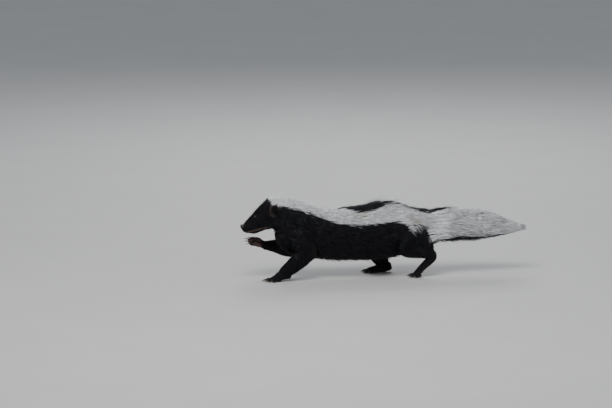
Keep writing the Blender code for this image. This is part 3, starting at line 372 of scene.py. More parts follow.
def tube_parts(rows, sides, per_span, power=2.0):
    """Points and faces of a closed tube with round ends. A row is x, y, z of the centre, half width across y,
    and the reach to either side in the plane of the bend: first along tangent x side, then against it."""
    dense = smooth_rows(rows, per_span)
    centres = [Vector(row[:3]) for row in dense]
    points, tangents, last = [], [], len(dense) - 1
    for i in range(len(dense)):
        tangents.append((centres[min(i + 1, last)] - centres[max(i - 1, 0)]).normalized())

    def ring(centre, tangent, half, above, below, scale):
        side = (Vector((0, 1, 0)) - tangent * tangent.y).normalized()
        up = tangent.cross(side)
        for k in range(sides):
            angle = 2 * math.pi * k / sides
            c, s = math.cos(angle), math.sin(angle)
            c = math.copysign(abs(c) ** (2 / power), c)
            s = math.copysign(abs(s) ** (2 / power), s)
            reach = above if s > 0 else below
            points.append(centre + side * (half * c * scale) + up * (reach * s * scale))

    def cap(at, sign):
        half, above, below = dense[at][3:6]
        bulge = END_DOME * (half + above + below) / 3
        turns = [math.pi / 2 * k / DOME_STEPS for k in range(1, DOME_STEPS)]
        for turn in (turns if sign > 0 else reversed(turns)):
            ring(centres[at] + tangents[at] * (sign * bulge * math.sin(turn)), tangents[at],
                 half, above, below, math.cos(turn))
        return centres[at] + tangents[at] * (sign * bulge)

    pole_start = cap(0, -1)
    for centre, tangent, row in zip(centres, tangents, dense):
        ring(centre, tangent, *row[3:6], 1.0)
    pole_end = cap(last, 1)
    faces = ring_faces(len(points) // sides, sides)
    return points + [pole_start, pole_end], faces


def ball_parts(centre, radii, segments=20, rings=14):
    """Points and faces of an ellipsoid."""
    points = []
    for r in range(1, rings):
        lat = math.pi * r / rings
        for k in range(segments):
            lon = 2 * math.pi * k / segments
            wide = math.sin(lat)
            points.append(Vector((wide * math.cos(lon), wide * math.sin(lon), math.cos(lat))))
    points += [Vector((0, 0, 1)), Vector((0, 0, -1))]
    faces = [(face[0], *face[:0:-1]) for face in ring_faces(rings - 1, segments)]
    scaled = [Vector((p.x * radii[0], p.y * radii[1], p.z * radii[2])) for p in points]
    return [Vector(centre) + p for p in scaled], faces


def join_parts(*several):
    """One list of points and one of faces, from several."""
    points, faces = [], []
    for more_points, more_faces in several:
        faces += [tuple(i + len(points) for i in face) for face in more_faces]
        points += more_points
    return points, faces


def new_object(name, parts):
    """An object with its normals facing out."""
    mesh = bpy.data.meshes.new(name)
    mesh.from_pydata([tuple(p) for p in parts[0]], [], parts[1])
    bm = bmesh.new()
    bm.from_mesh(mesh)
    bmesh.ops.recalc_face_normals(bm, faces=bm.faces)
    bm.to_mesh(mesh)
    bm.free()
    obj = bpy.data.objects.new(name, mesh)
    bpy.context.scene.collection.objects.link(obj)
    return obj


def bake_modifiers(obj):
    """Replaces the object's mesh with what its modifiers make of it."""
    graph = bpy.context.evaluated_depsgraph_get()
    made = bpy.data.meshes.new_from_object(obj.evaluated_get(graph))
    obj.modifiers.clear()
    obj.data = made
    return obj


def on_head(along, up, out=0.0, side=1.0):
    """A point given along the head's axis, up from it, and out to one side."""
    return NOSE_TIP + HEAD_AXIS * along + HEAD_UP * up + Vector((0, out * side, 0))


def eye_shift():
    """From the body's own place to the model's."""
    low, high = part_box("eye_left")
    return (low + high) / 2 - on_head(*EYE_PLACE, LEFT)


SHIFT = eye_shift()


def head_places(points):
    """For an array of points: how far along the head's axis, up from it and out from the midline each is."""
    from_nose = points - np.array(NOSE_TIP)
    return from_nose @ np.array(HEAD_AXIS), from_nose @ np.array(HEAD_UP), np.abs(points[:, 1])


def inset(row, by):
    """A station with its half width, up and down reduced by the coat's height."""
    return (*row[:-3], row[-3] - by, row[-2] - by, row[-1] - by)


def head_rows():
    return [inset((*on_head(along, up), half, above, below), HEAD_COAT[name][HEIGHT])
            for name, (along, up, half, above, below) in HEAD_ROWS.items()]


def trunk_rows():
    return [inset((x, 0.0, z, half, above, below), TRUNK_COAT[name][HEIGHT])
            for name, (x, z, half, above, below) in TRUNK_ROWS.items()]


def limb_rows(rows, side):
    return [inset((x, y * side, z, half, behind, front), LIMB_COAT[name][HEIGHT])
            for name, (x, y, z, half, behind, front) in rows.items()]


def ear_frame(side):
    """The ear's centre, the way it faces, and the directions up and across its cup."""
    out = Vector((0, side, 0))
    up = (HEAD_UP + HEAD_AXIS * 0.25 + out * 0.35).normalized()
    face = out * 0.86 - HEAD_AXIS * 0.50
    face = (face - up * face.dot(up)).normalized()
    return on_head(*EAR_PLACE, side), face, up, up.cross(face).normalized()


def ear_parts(side):
    """The round cup of an ear, a shallow bowl that opens forward and out, thinnest at its rim."""
    spokes, rings = 44, 12
    centre, face, up, wide = ear_frame(side)
    points, faces = [], []
    for layer in (-0.5, 0.5):
        points.append(centre + face * (EAR_THICKNESS * layer - EAR_DEPTH))
        for r in range(1, rings + 1):
            share = r / rings
            for k in range(spokes):
                turn = 2 * math.pi * k / spokes
                spread = wide * (EAR_WIDTH / 2 * math.cos(turn)) + up * (EAR_HEIGHT / 2 * math.sin(turn))
                thick = EAR_THICKNESS * layer * (1 - EAR_RIM_THINNER * share ** 3)
                bowl = EAR_DEPTH * (share ** 2 * (1 - EAR_TOP_FLATTER * max(0.0, math.sin(turn))) - 1)
                points.append(centre + spread * share + face * (bowl + thick))
    size = 1 + rings * spokes
    for k in range(spokes):
        after = (k + 1) % spokes
        faces += [(0, 1 + after, 1 + k), (size, size + 1 + k, size + 1 + after)]
        for r in range(rings - 1):
            a, b = 1 + r * spokes + k, 1 + r * spokes + after
            faces += [(a, b, b + spokes, a + spokes),
                      (size + a, size + a + spokes, size + b + spokes, size + b)]
        a, b = 1 + (rings - 1) * spokes + k, 1 + (rings - 1) * spokes + after
        faces.append((a, b, size + b, size + a))
    return points, faces


def paw_frame(forward, roll=0.0, side=1.0):
    """The directions along a paw, across it and up from its sole."""
    forward = Vector(forward).normalized()
    across = Vector((0, 1, 0))
    across = (across - forward * across.dot(forward)).normalized()
    up = across.cross(forward)
    if up.z < 0:
        up = -up
    turn = Matrix.Rotation(roll * side, 3, forward)
    return forward, turn @ across, turn @ up


FLAT = paw_frame((-1, 0, 0))
LIFTED = paw_frame((-0.92, 0.0, 0.36), roll=math.radians(45.0))
Paw = namedtuple("Paw", "wrist sizes palm toes side rows spread")
PAWS = {
    "forepaw_left": Paw(Vector((-0.2290, 0.0340 * LEFT, 0.0160)), FOREPAW, paw_frame((-1, 0, -0.02)), FLAT,
                        LEFT, FOREPAW_ROWS, TOE_SPREAD),
    "forepaw_right": Paw(Vector((-0.2600, 0.0320 * RIGHT, 0.0695)), FOREPAW, LIFTED, LIFTED,
                         RIGHT, LIFTED_ROWS, TOE_SPREAD / 2),
    "hindpaw_right": Paw(Vector((0.0130, 0.0350 * RIGHT, 0.0130)), HINDPAW, FLAT, FLAT,
                         RIGHT, HINDPAW_FLAT_ROWS, TOE_SPREAD),
    "hindpaw_left": Paw(Vector((0.0990, 0.0360 * LEFT, 0.0395)), HINDPAW, paw_frame((-0.0345, 0.0, -0.0350)),
                        FLAT, LEFT, HINDPAW_RAISED_ROWS, TOE_SPREAD),
}


def paw_tip(paw):
    """The end of the palm, where the toes start."""
    forward, _, up = paw.palm
    return paw.wrist + forward * paw.rows[-1][0] + up * paw.rows[-1][1]


def paw_toes(paw):
    """Each toe of a paw: where it starts, its direction and length."""
    forward, across, up = paw.toes
    toes = []
    for i in range(TOES):
        place = i - (TOES - 1) / 2
        inner = INNER_TOE_SHORTER if place * paw.side < -1.5 else 0.0
        shorter = 1.0 - TOE_SHORTENING * abs(place) ** 1.5 - inner
        angle = paw.spread * place
        direction = (forward * math.cos(angle) + across * math.sin(angle)).normalized()
        base = (paw_tip(paw) + across * (place * paw.sizes["half_width"] * TOE_SPACING)
                - forward * (TOE_ARC * place * place) - up * TOE_DROP)
        toes.append((base, direction, paw.sizes["toe"] * shorter))
    return toes


def paw_forms(paw):
    """The palm, toes and pads of one paw."""
    forward, across, up = paw.palm
    toe_up = paw.toes[2]
    palm = []
    for along, lift, *reaches in paw.rows:
        inner = [reach - skin for reach, skin in zip(reaches, PALM_INSET)]
        palm.append((*(paw.wrist + forward * along + up * lift), *inner))
    forms = [tube_parts(palm, 28, 6)]
    radius = paw.sizes["toe_radius"]
    for base, direction, length in paw_toes(paw):
        rows = []
        for share, lift, size in TOE_ROWS:
            rows.append((*(base + direction * (length * share) + toe_up * lift), *([radius * size] * 3)))
        forms.append(tube_parts(rows, 16, 4))
        pad = base + direction * (length * TOE_PAD_PLACE[0]) - toe_up * (radius * TOE_PAD_PLACE[1])
        forms.append(ball_parts(pad, [radius * size for size in TOE_PAD_RADII]))
    sole = paw.rows[-1][4]
    long, wide, deep = SOLE_PAD_RADII
    for back, aside, size in SOLE_PADS:
        pad = (paw_tip(paw) - forward * (back + 0.001) + across * (aside * paw.sizes["half_width"])
               - up * (sole - SOLE_PAD_SINK))
        forms.append(ball_parts(pad, (long * size, wide * size, deep)))
    return forms


def make_skin():
    """Head, ears, trunk, legs, paws and tail as one skin."""
    forms = [tube_parts(head_rows(), 40, 8, power=2.1), tube_parts(trunk_rows(), 48, 8, power=2.15)]
    tail = [(x, 0.0, z, half, above, below) for x, z, half, above, below in TAIL_FLESH_ROWS.values()]
    forms.append(tube_parts(tail, 28, 8))
    for side, rows in LIMBS:
        forms.append(tube_parts(limb_rows(rows, side), 28, 8))
    for side in (LEFT, RIGHT):
        for place, radii in FACE_SWELLS.values():
            forms.append(ball_parts(on_head(*place, side), radii))
        forms.append(ear_parts(side))
    for paw in PAWS.values():
        forms += paw_forms(paw)
    skin = new_object("skin", join_parts(*forms))
    remesh = skin.modifiers.new("fuse", "REMESH")
    remesh.mode = "VOXEL"
    remesh.voxel_size = SKIN_VOXEL
    soften = skin.modifiers.new("soften", "SMOOTH")
    soften.factor, soften.iterations = SKIN_SMOOTHING
    bake_modifiers(skin)
    refine(skin)
    shape_face(skin)
    return skin


def mouth_offsets(points):
    """How far above the line of the mouth the points are, and how far along the head."""
    along, up, _ = head_places(points)
    share = (MOUTH_TO - along) / (MOUTH_TO - MOUTH_FROM)
    line = MOUTH_DROP_BACK + (MOUTH_DROP_FRONT - MOUTH_DROP_BACK) * np.clip(share, -0.3, 1.2)
    return up - line, along


def eye_frame(side):
    centre = on_head(*EYE_PLACE, side)
    gaze = (Vector((0, side, 0)) - HEAD_AXIS * 0.45 + HEAD_UP * 0.15).normalized()
    up = (HEAD_UP - gaze * HEAD_UP.dot(gaze)).normalized()
    return centre, gaze, up, gaze.cross(up).normalized()


def refine(skin):
    """Splits the faces round the eyes and along the mouth, twice, for lids and lips."""
    for reach in (0.0100, 0.0085):
        bm = bmesh.new()
        bm.from_mesh(skin.data)
        points = np.array([v.co for v in bm.verts])
        above, along = mouth_offsets(points)
        near = (np.abs(above) < reach * 0.42) & (along < MOUTH_TO + reach * 0.8)
        near &= points[:, 2] > HEAD_ABOVE
        for side in (LEFT, RIGHT):
            near |= np.linalg.norm(points - np.array(eye_frame(side)[0]), axis=1) < reach
        edges = [edge for edge in bm.edges if near[edge.verts[0].index] and near[edge.verts[1].index]]
        bmesh.ops.subdivide_edges(bm, edges=edges, cuts=1, use_grid_fill=True)
        bmesh.ops.triangulate(bm, faces=[face for face in bm.faces if len(face.verts) > 4])
        bm.to_mesh(skin.data)
        bm.free()


def read_values(items, key, width, kind=np.float32):
    """An array of what every item of a mesh's list holds under a key, with width numbers each."""
    values = np.empty(len(items) * width, kind)
    items.foreach_get(key, values)
    return values.reshape(-1, width)


def mesh_points(mesh):
    return read_values(mesh.vertices, "co", 3, float)


def mesh_normals(mesh):
    return read_values(mesh.vertex_normals, "vector", 3).astype(float)


def eye_gap(points, side):
    """Distance from the eye's centre, and how far past the rim of the lids, where 1 is the rim itself."""
    centre, gaze, up, across = (np.array(v) for v in eye_frame(side))
    offset = points - centre
    far = lengths(offset)[:, 0]
    a, b, w = offset @ across / far, offset @ up / far, offset @ gaze / far
    slant = b + LID_SLANT * a
    return far, np.where(w > 0, np.hypot(a / LID_ACROSS, slant / LID_TALL), BEHIND_EYE)


def shape_face(skin):
    """Opens the lids over the eyes, scores the mouth with its lips, and levels the soles."""
    points = mesh_points(skin.data)
    normals = mesh_normals(skin.data)
    above, along = mouth_offsets(points)
    front = smoothstep(MOUTH_TO + 0.004, MOUTH_TO - 0.003, along) * (points[:, 2] > HEAD_ABOVE)
    groove, upper_lip, lower_lip = (height * bell(above, *line) for height, line in MOUTH_RIDGES.values())
    points += normals * ((groove + (upper_lip + lower_lip)) * front)[:, None]
    for side in (LEFT, RIGHT):
        centre = np.array(eye_frame(side)[0])
        far, gap = eye_gap(points, side)
        lid = LID_RADIUS + LID_RIM * bell(gap, 1.15, 0.18)
        blend = smoothstep(1.0, 2.1, gap)
        wanted = lid * (1 - blend) + np.maximum(far, LID_RADIUS) * blend
        inside = smoothstep(1.03, 0.90, gap)
        wanted = wanted * (1 - inside) + EYE_RADIUS * SOCKET_DEPTH * inside
        moved = centre + (points - centre) * (wanted / far)[:, None]
        use = (far < LID_REACH) & (gap < BEHIND_EYE)
        points[use] = moved[use]
    points[:, 2] = np.maximum(points[:, 2], 0.0)
    skin.data.vertices.foreach_set("co", points.ravel())
    skin.data.update()


def chain_samples():
    """Points down the middle of each part: place, direction, radius, the coat's three sizes, and the part."""
    samples = []

    def add(rows, coats, part):
        dense = smooth_rows([(*row, *coat) for row, coat in zip(rows, coats)], 5)
        ways = unit(np.gradient(dense[:, :3], axis=0))
        for row, way in zip(dense, ways):
            radius = (row[3] + row[4] + row[5]) / 3
            samples.append((*row[:3], *way, radius, *row[6:9], part))

    add(head_rows(), HEAD_COAT.values(), HEAD)
    add(trunk_rows(), TRUNK_COAT.values(), TRUNK)
    for side, rows in LIMBS:
        add(limb_rows(rows, side), [LIMB_COAT[name] for name in rows], LIMB)
    for paw in PAWS.values():
        forward, _, up = paw.palm
        rows = [(*(paw.wrist + forward * s[0] + up * s[1]), s[2], s[3], s[4]) for s in paw.rows]
        add(rows, [PAW_COAT] * len(rows), PAW)
        radius = paw.sizes["toe_radius"]
        for base, direction, length in paw_toes(paw):
            rows = [(*(base + direction * (length * share)), radius, radius, radius)
                    for share in (0.1, 0.5, 1.0)]
            add(rows, [TOE_COAT] * 3, PAW)
    for side in (LEFT, RIGHT):
        centre, face, up, _ = ear_frame(side)
        rows = [(*(centre + up * (EAR_HEIGHT * share) - face * 0.003), 0.009, 0.009, 0.009)
                for share in (-0.15, 0.15, 0.45)]
        add(rows, [EAR_COAT] * 3, EAR)
    return np.array(samples)


def read_coat(points, samples):
    """For each point: the lie of the coat, its length, half width and height, and its share of each part."""
    lies = np.empty((len(points), 3))
    sizes = np.empty((len(points), 3))
    parts = np.empty((len(points), PARTS))
    kinds = samples[:, 10][:, None] == np.arange(PARTS)
    for start in range(0, len(points), CHUNK):
        chunk = slice(start, start + CHUNK)
        away = np.linalg.norm(points[chunk, None] - samples[None, :, :3], axis=2) - samples[:, 6]
        weight = np.exp(-(away - away.min(axis=1, keepdims=True)) / PART_BLEND)
        weight /= weight.sum(axis=1, keepdims=True)
        lies[chunk] = weight @ samples[:, 3:6]
        sizes[chunk] = weight @ samples[:, 7:10]
        parts[chunk] = weight @ kinds
    return unit(lies), sizes, parts


def body_turn(points):
    """How far down from the top of the trunk or tail a point is, in radians, on either side."""
    rows = list(TRUNK_ROWS.values())[:-1] + list(TAIL_ROWS.values())[1:]
    centre = np.interp(points[:, 0], [row[0] for row in rows], [row[1] for row in rows])
    return np.arctan2(np.abs(points[:, 1]), points[:, 2] - centre)


def edge_at(stations, x):
    return np.radians(np.interp(x, [s[0] for s in stations], [s[1] for s in stations]))


def white_share(points, parts):
    """How far a point lies inside the white of the coat, from 0 to 1. parts is its share of each part."""
    turn = body_turn(points)
    x = points[:, 0]
    legs = parts[:, LIMB] + parts[:, PAW]
    low = smoothstep(EDGE_BLUR, -EDGE_BLUR, turn - edge_at(STRIPE_LOWER, x))
    up = edge_at(STRIPE_UPPER, x)
    outside = (x < STRIPE_UPPER[0][0]) | (x > STRIPE_UPPER[-1][0])
    inner = np.where(outside, 1.0, smoothstep(-EDGE_BLUR, EDGE_BLUR, turn - up))
    trunk = low * inner * (1 - smoothstep(0.25, 0.6, legs) * (points[:, 2] < LEGS_BELOW))
    along, height, out = head_places(points)
    head_turn = np.arctan2(out, height + CAP_DROP)
    cap = smoothstep(CAP_FROM - 0.001, CAP_FROM + 0.002, along)
    cap *= smoothstep(CAP_TURN + EDGE_BLUR, CAP_TURN - EDGE_BLUR, head_turn)
    cap *= x < CAP_END
    trunk *= np.where(x < HEAD_END, along > CAP_FROM, True)
    wide = BLAZE_HALF_WIDTH * smoothstep(BLAZE[0] - 0.004, BLAZE[0] + 0.012, along)
    wide = wide * smoothstep(BLAZE[1] + 0.002, BLAZE[1] - 0.010, along)
    blaze = smoothstep(0.0005, -0.0005, out - wide) * (height > 0.0) * (wide > 0.0002) * (x < BLAZE_END)
    return np.maximum(np.maximum(trunk, cap), blaze) * (1 - smoothstep(0.3, 0.6, parts[:, EAR]))


def stain_share(points):
    """How buff the white is: a few stains on the left side."""
    turn = np.degrees(body_turn(points))
    found = np.zeros(len(points))
    for x, down, reach in STAINS:
        away = ((points[:, 0] - x) / reach) ** 2 + ((turn - down) * METRES_PER_DEGREE / reach) ** 2
        found = np.maximum(found, np.exp(-away))
    return found * (points[:, 1] < 0)


def paw_places(points, normals):
    """For each paw: whether a point lies in it, how far along it is, and how far it faces the sole's way."""
    for paw in PAWS.values():
        forward, across, up = paw.palm
        offset = points - np.array(paw.wrist)
        along = offset @ np.array(forward)
        lift = np.interp(along, [row[0] for row in paw.rows], [row[1] for row in paw.rows])
        from_tip = offset - np.array(forward * paw.rows[-1][0] + up * paw.rows[-1][1])
        palm = (along > PALM_FROM) & (np.abs(offset @ np.array(up) - lift) < PALM_REACH)
        near = palm | (lengths(from_tip)[:, 0] < TOES_REACH)
        near &= np.abs(offset @ np.array(across)) < PAW_SIDE_REACH
        near &= along < paw.rows[-1][0] + CLAWS_REACH
        facing = np.maximum(-(normals @ np.array(up)), -(normals @ np.array(paw.toes[2])))
        yield near, along / paw.rows[-1][0], facing


def nose_share(points):
    from_nose = lengths(points - np.array(on_head(*NOSE_PLACE)))[:, 0]
    return smoothstep(*NOSE_BARE, from_nose)


def sole_share(points, normals):
    """Where the bare, brownish pink skin shows: soles and toe tips, and faintly round the nose."""
    found = np.zeros(len(points))
    for near, along, facing in paw_places(points, normals):
        found = np.maximum(found, near * smoothstep(0.25, 0.60, facing) * smoothstep(0.10, 0.32, along))
        tips = smoothstep(-0.20, 0.30, facing) * smoothstep(1.30, 1.55, along)
        found = np.maximum(found, near * tips * 0.6)
    return np.maximum(found, 0.10 * nose_share(points))


def bare_share(points, normals):
    """Where no hair grows: soles, toe tips, round the nose, the lips and the rims of the lids."""
    found = np.maximum(sole_share(points, normals), nose_share(points))
    above, along = mouth_offsets(points)
    lips = smoothstep(0.0016, 0.0009, np.abs(above + 0.0003))
    lips *= smoothstep(MOUTH_TO + 0.002, MOUTH_TO - 0.002, along)
    found = np.maximum(found, lips * (points[:, 2] > CHIN_ABOVE))
    for side in (LEFT, RIGHT):
        far, gap = eye_gap(points, side)
        found = np.maximum(found, smoothstep(1.30, 1.12, gap) * (far < 0.0062))
    return found


def chin_bounce_and_ear_rim_share(points):
    """Painted warm bounce light on hair and skin, a brown band under the lower lip and on the chin; and paler
    brown on the front rims of the ears.
    """
    above, along = mouth_offsets(points)
    # the chin's band: painted warm light bounced up from the floor
    band = bell(above, -0.0022, 0.0017) * smoothstep(0.0008, -0.0004, above)
    found = band * smoothstep(0.058, 0.044, along) * (points[:, 2] > CHIN_ABOVE)
    for side in (LEFT, RIGHT):
        centre, face, up, wide = (np.array(v) for v in ear_frame(side))
        offset = points - centre
        across, tall, deep = offset @ wide * side, offset @ up, offset @ face
        ring = np.hypot(across / (EAR_WIDTH / 2), tall / (EAR_HEIGHT / 2))
        rim = smoothstep(0.70, 0.88, ring) * (ring < 1.3) * (np.abs(deep) < 0.009)
        found = np.maximum(found, 0.45 * rim * smoothstep(-0.10, 0.30, across / EAR_WIDTH))
    return found


def set_attribute(mesh, name, values):
    made = mesh.attributes.new(name, "FLOAT", "POINT")
    made.data.foreach_set("value", np.ascontiguousarray(values, np.float32))


def unwrap_skin(skin):
    """A map of the skin's own shape."""
    skin.data.uv_layers.new(name="OFBake")
    bpy.context.view_layer.objects.active = skin
    skin.select_set(True)
    bpy.ops.object.mode_set(mode="EDIT")
    bpy.ops.mesh.select_all(action="SELECT")
    bpy.ops.uv.smart_project(angle_limit=math.radians(66), island_margin=0.002, scale_to_bounds=True)
    bpy.ops.object.mode_set(mode="OBJECT")
    skin.select_set(False)


class Surface:
    """The skin's triangles, for choosing roots."""

    def __init__(self, obj):
        mesh = obj.data
        mesh.calc_loop_triangles()
        self.points = mesh_points(mesh)
        self.normals = mesh_normals(mesh)
        self.triangles = read_values(mesh.loop_triangles, "vertices", 3, np.int32)
        loops = read_values(mesh.loop_triangles, "loops", 3, np.int32)
        self.uvs = read_values(mesh.uv_layers["OFBake"].uv, "vector", 2)[loops].astype(float)
        a, b, c = (self.points[self.triangles[:, k]] for k in range(3))
        self.areas = np.linalg.norm(np.cross(b - a, c - a), axis=1) / 2
        self.tree = BVHTree.FromPolygons([tuple(p) for p in self.points], [tuple(t) for t in self.triangles])

    def scatter(self, density, draw):
        """Roots on the skin: places, normals and places on the map. density is per square metre."""
        wanted = self.areas * density[self.triangles].mean(axis=1)
        total = int(wanted.sum())
        chosen = draw.choice(len(wanted), size=total, p=wanted / wanted.sum())
        a, b = draw.random(total), draw.random(total)
        flip = a + b > 1
        a[flip], b[flip] = 1 - a[flip], 1 - b[flip]
        weights = np.stack([1 - a - b, a, b], axis=1)
        corners = self.triangles[chosen]
        places = (self.points[corners] * weights[..., None]).sum(axis=1)
        normals = unit((self.normals[corners] * weights[..., None]).sum(axis=1))
        uvs = (self.uvs[chosen] * weights[..., None]).sum(axis=1)
        return places, normals, uvs


def clump(paths, roots, share_of, every, draw):
    """Draws the tips of neighbouring tufts together, towards one in every few of them."""
    count = len(roots)
    chosen = draw.choice(count, size=max(1, count // every), replace=False)
    tree = KDTree(len(chosen))
    for k, i in enumerate(chosen):
        tree.insert(roots[i], k)
    tree.balance()
    leader = chosen[np.array([tree.find(p)[1] for p in roots])]
    steps = paths.shape[1]
    for s in range(1, steps):
        pull = (share_of * (s / (steps - 1)) ** 1.5)[:, None]
        goal = paths[leader, s] + CLUMP_WIDTH * (roots - roots[leader])
        paths[:, s] = paths[:, s] * (1 - pull) + goal * pull
    return paths


def body_paths(surface, roots, normals, length, height, lie, steps):
    """Tufts that follow the lie of the coat over the skin, their tips at the coat's height."""
    count = len(roots)
    paths = np.empty((count, steps, 3))
    paths[:, 0] = roots - normals * np.minimum(ROOT_DEPTH, height[:, None] * 0.3)
    at, way, out = roots.copy(), lie.copy(), normals.copy()
    for s in range(1, steps):
        share = s / (steps - 1)
        at = at + way * (length / (steps - 1))[:, None]
        for i in range(count):
            found = surface.tree.find_nearest(at[i])
            at[i] = found[0]
            out[i] = found[1]
        way = unit(way - out * (way * out).sum(axis=1, keepdims=True))
        paths[:, s] = at + out * (height * (0.55 * math.sin(0.5 * math.pi * share) + 0.45 * share))[:, None]
    return paths


def short_paths(roots, normals, length, height, lie, steps):
    """Short tufts, straight but for the rise of their tips."""
    paths = np.empty((len(roots), steps, 3))
    paths[:, 0] = roots - normals * (ROOT_DEPTH / 2)
    for s in range(1, steps):
        share = s / (steps - 1)
        rise = height * math.sin(0.5 * math.pi * share)
        paths[:, s] = roots + lie * (length * share)[:, None] + normals * rise[:, None]
    return paths


def reach_at(rows, x, turn):
    """The middle of a tube at x, and how far out its surface is in the direction turned from straight up."""
    stations = list(rows.values())
    xs = [row[0] for row in stations]
    z, half, up, down = (np.interp(x, xs, [row[i] for row in stations]) for i in range(1, 5))
    tall = np.where(np.cos(turn) > 0, up, down)
    return z, 1.0 / np.hypot(np.sin(turn) / half, np.cos(turn) / tall)


def tuft_mesh(name, paths, outward, half, colours, uvs, thickness=TUFT_THICKNESS):
    """One mesh of many tufts, each a closed three-sided blade that narrows to a point."""
    count, steps = paths.shape[:2]
    ways = unit(np.gradient(paths, axis=1))
    across = unit(np.cross(ways, outward[:, None, :]))
    ridge = unit(np.cross(across, ways))
    rings = steps - 1
    profile = np.interp(np.arange(rings) / (steps - 1), *TUFT_PROFILE)
    wide = half[:, None] * profile[None, :]
    body = paths[:, :rings]
    points = np.empty((count, rings * 3 + 1, 3))
    points[:, 0:rings * 3:3] = body - across[:, :rings] * wide[..., None]
    points[:, 1:rings * 3:3] = body + across[:, :rings] * wide[..., None]
    points[:, 2:rings * 3:3] = body + ridge[:, :rings] * (wide * thickness * 2)[..., None]
    points[:, -1] = paths[:, -1]
    points[..., 2] = np.maximum(points[..., 2], FLOOR_GAP)
    faces = [(0, 2, 1)]
    for r in range(rings - 1):
        for k in range(3):
            a, b = r * 3 + k, r * 3 + (k + 1) % 3
            faces += [(a, b, b + 3), (a, b + 3, a + 3)]
    last, tip = (rings - 1) * 3, rings * 3
    faces += [(last + k, last + (k + 1) % 3, tip) for k in range(3)]
    faces = np.array(faces)
    size = rings * 3 + 1
    indices = (faces[None] + (np.arange(count) * size)[:, None, None]).reshape(-1)
    mesh = bpy.data.meshes.new(name)
    mesh.vertices.add(count * size)
    mesh.vertices.foreach_set("co", (points + np.array(SHIFT)).ravel())
    mesh.loops.add(len(indices))
    mesh.loops.foreach_set("vertex_index", indices.astype(np.int32))
    mesh.polygons.add(len(indices) // 3)
    mesh.polygons.foreach_set("loop_start", np.arange(0, len(indices), 3, dtype=np.int32))
    mesh.polygons.foreach_set("use_smooth", np.ones(len(indices) // 3, bool))
    mesh.update()
    shares = np.concatenate([np.repeat(np.arange(rings) / (steps - 1), 3), [1.0]])
    sides = np.concatenate([np.tile((-0.5, 0.5, 0.0), rings), [0.0]])
    local = np.stack([shares - 0.5, sides], axis=1) * PATCH
    places = (uvs[:, None, :] + local[None]).reshape(-1, 2)
    layer = mesh.uv_layers.new(name="OFBake")
    layer.uv.foreach_set("vector", np.clip(places[indices], 0.0, 1.0).astype(np.float32).ravel())
    set_attribute(mesh, "along", np.tile(shares, count))
    for key, values in colours.items():
        set_attribute(mesh, key, np.repeat(values, size))
    obj = bpy.data.objects.new(name, mesh)
    bpy.context.scene.collection.objects.link(obj)
    return obj


def add_coat(name, paths, outward, half, colours, uvs):
    """The tufts in as many pieces as keep each one small enough."""
    per = 4 + 6 * (paths.shape[1] - 2)
    pieces = max(1, math.ceil(len(paths) * per / MOST_TRIANGLES))
    order = np.argsort(paths[:, 0, 0], kind="stable")
    made = []
    for k, some in enumerate(np.array_split(order, pieces)):
        picked = {key: values[some] for key, values in colours.items()}
        piece_name = name if pieces == 1 else f"{name}_{k + 1}"
        made.append(tuft_mesh(piece_name, paths[some], outward[some], half[some], picked, uvs[some]))
    return made


def colours_of(middles, parts, draw):
    """The colour of each tuft, all white or all black by where its middle lies, with its own tone."""
    count = len(middles)
    white = white_share(middles, parts)
    doubt = EDGE_DOUBT * np.sqrt(4 * white * (1 - white))
    picked = (white + draw.normal(0.0, 1.0, count) * doubt > 0.5).astype(float)
    # the last mask: painted warm bounce light on the chin, with the paler brown front rims of the ears
    return {"white": picked, "tone": draw.random(count), "stain": stain_share(middles) * draw.random(count),
            "tan": chin_bounce_and_ear_rim_share(middles) * draw.uniform(0.5, 1.0, count)}


def crest_share(points, turn):
    """Where the black hair of the middle of the back stands up."""
    along = bell(points[:, 0], *CREST)
    return along * smoothstep(math.radians(32), math.radians(8), turn) * (points[:, 2] > 0.12)


def make_layer(name, surface, samples, density, draw):
    """One layer of the coat, the short or the long, where its density isn't 0."""
    steps, gather, every = (COAT_LAYERS[name][key] for key in ("steps", "gather", "every"))
    roots, normals, uvs = surface.scatter(density, draw)
    count = len(roots)
    lie, size, part = read_coat(roots, samples)
    turn = body_turn(roots)
    under = smoothstep(math.radians(95), math.radians(150), turn) * part[:, TRUNK]
    loose = (draw.random(count) < LOOSE_SHARE) * (size[:, LENGTH] > LOOSE_FROM)
    length = size[:, LENGTH] * draw.uniform(0.72, 1.22, count) * (1 - 0.25 * under)
    height = size[:, HEIGHT] * draw.uniform(0.55, 1.15, count)
    crest = crest_share(roots, turn)
    height += crest * draw.uniform(*CREST_RISE, count)
    height *= 1 + 0.55 * loose
    length *= 1 + 0.25 * crest
    pull = np.array((0.0, 0.0, -1.0)) * (GRAVITY_LEAN * (part[:, TRUNK] * np.sin(turn))[:, None])
    lie = lie + pull + draw.normal(0.0, LIE_SPREAD, (count, 3))
    lie = unit(lie - normals * (lie * normals).sum(axis=1, keepdims=True))
    if name == "coat_short":
        paths = short_paths(roots, normals, length, height, lie, steps)
    else:
        paths = body_paths(surface, roots, normals, length, height, lie, steps)
    droop = HANG * (under * draw.uniform(0.3, 1.0, count))
    paths[..., 2] -= droop[:, None] * (np.arange(steps) / (steps - 1)) ** 2
    held = np.full(count, gather) * draw.uniform(0.5, 1.2, count) * (1 - 0.8 * loose)
    paths = clump(paths, roots, held, every, draw)
    half = size[:, HALF] * draw.uniform(0.70, 1.20, count) * (1 - 0.45 * loose)
    colours = colours_of(paths[:, steps // 2], part, draw)
    return add_coat(name, paths, normals, half, colours, uvs)


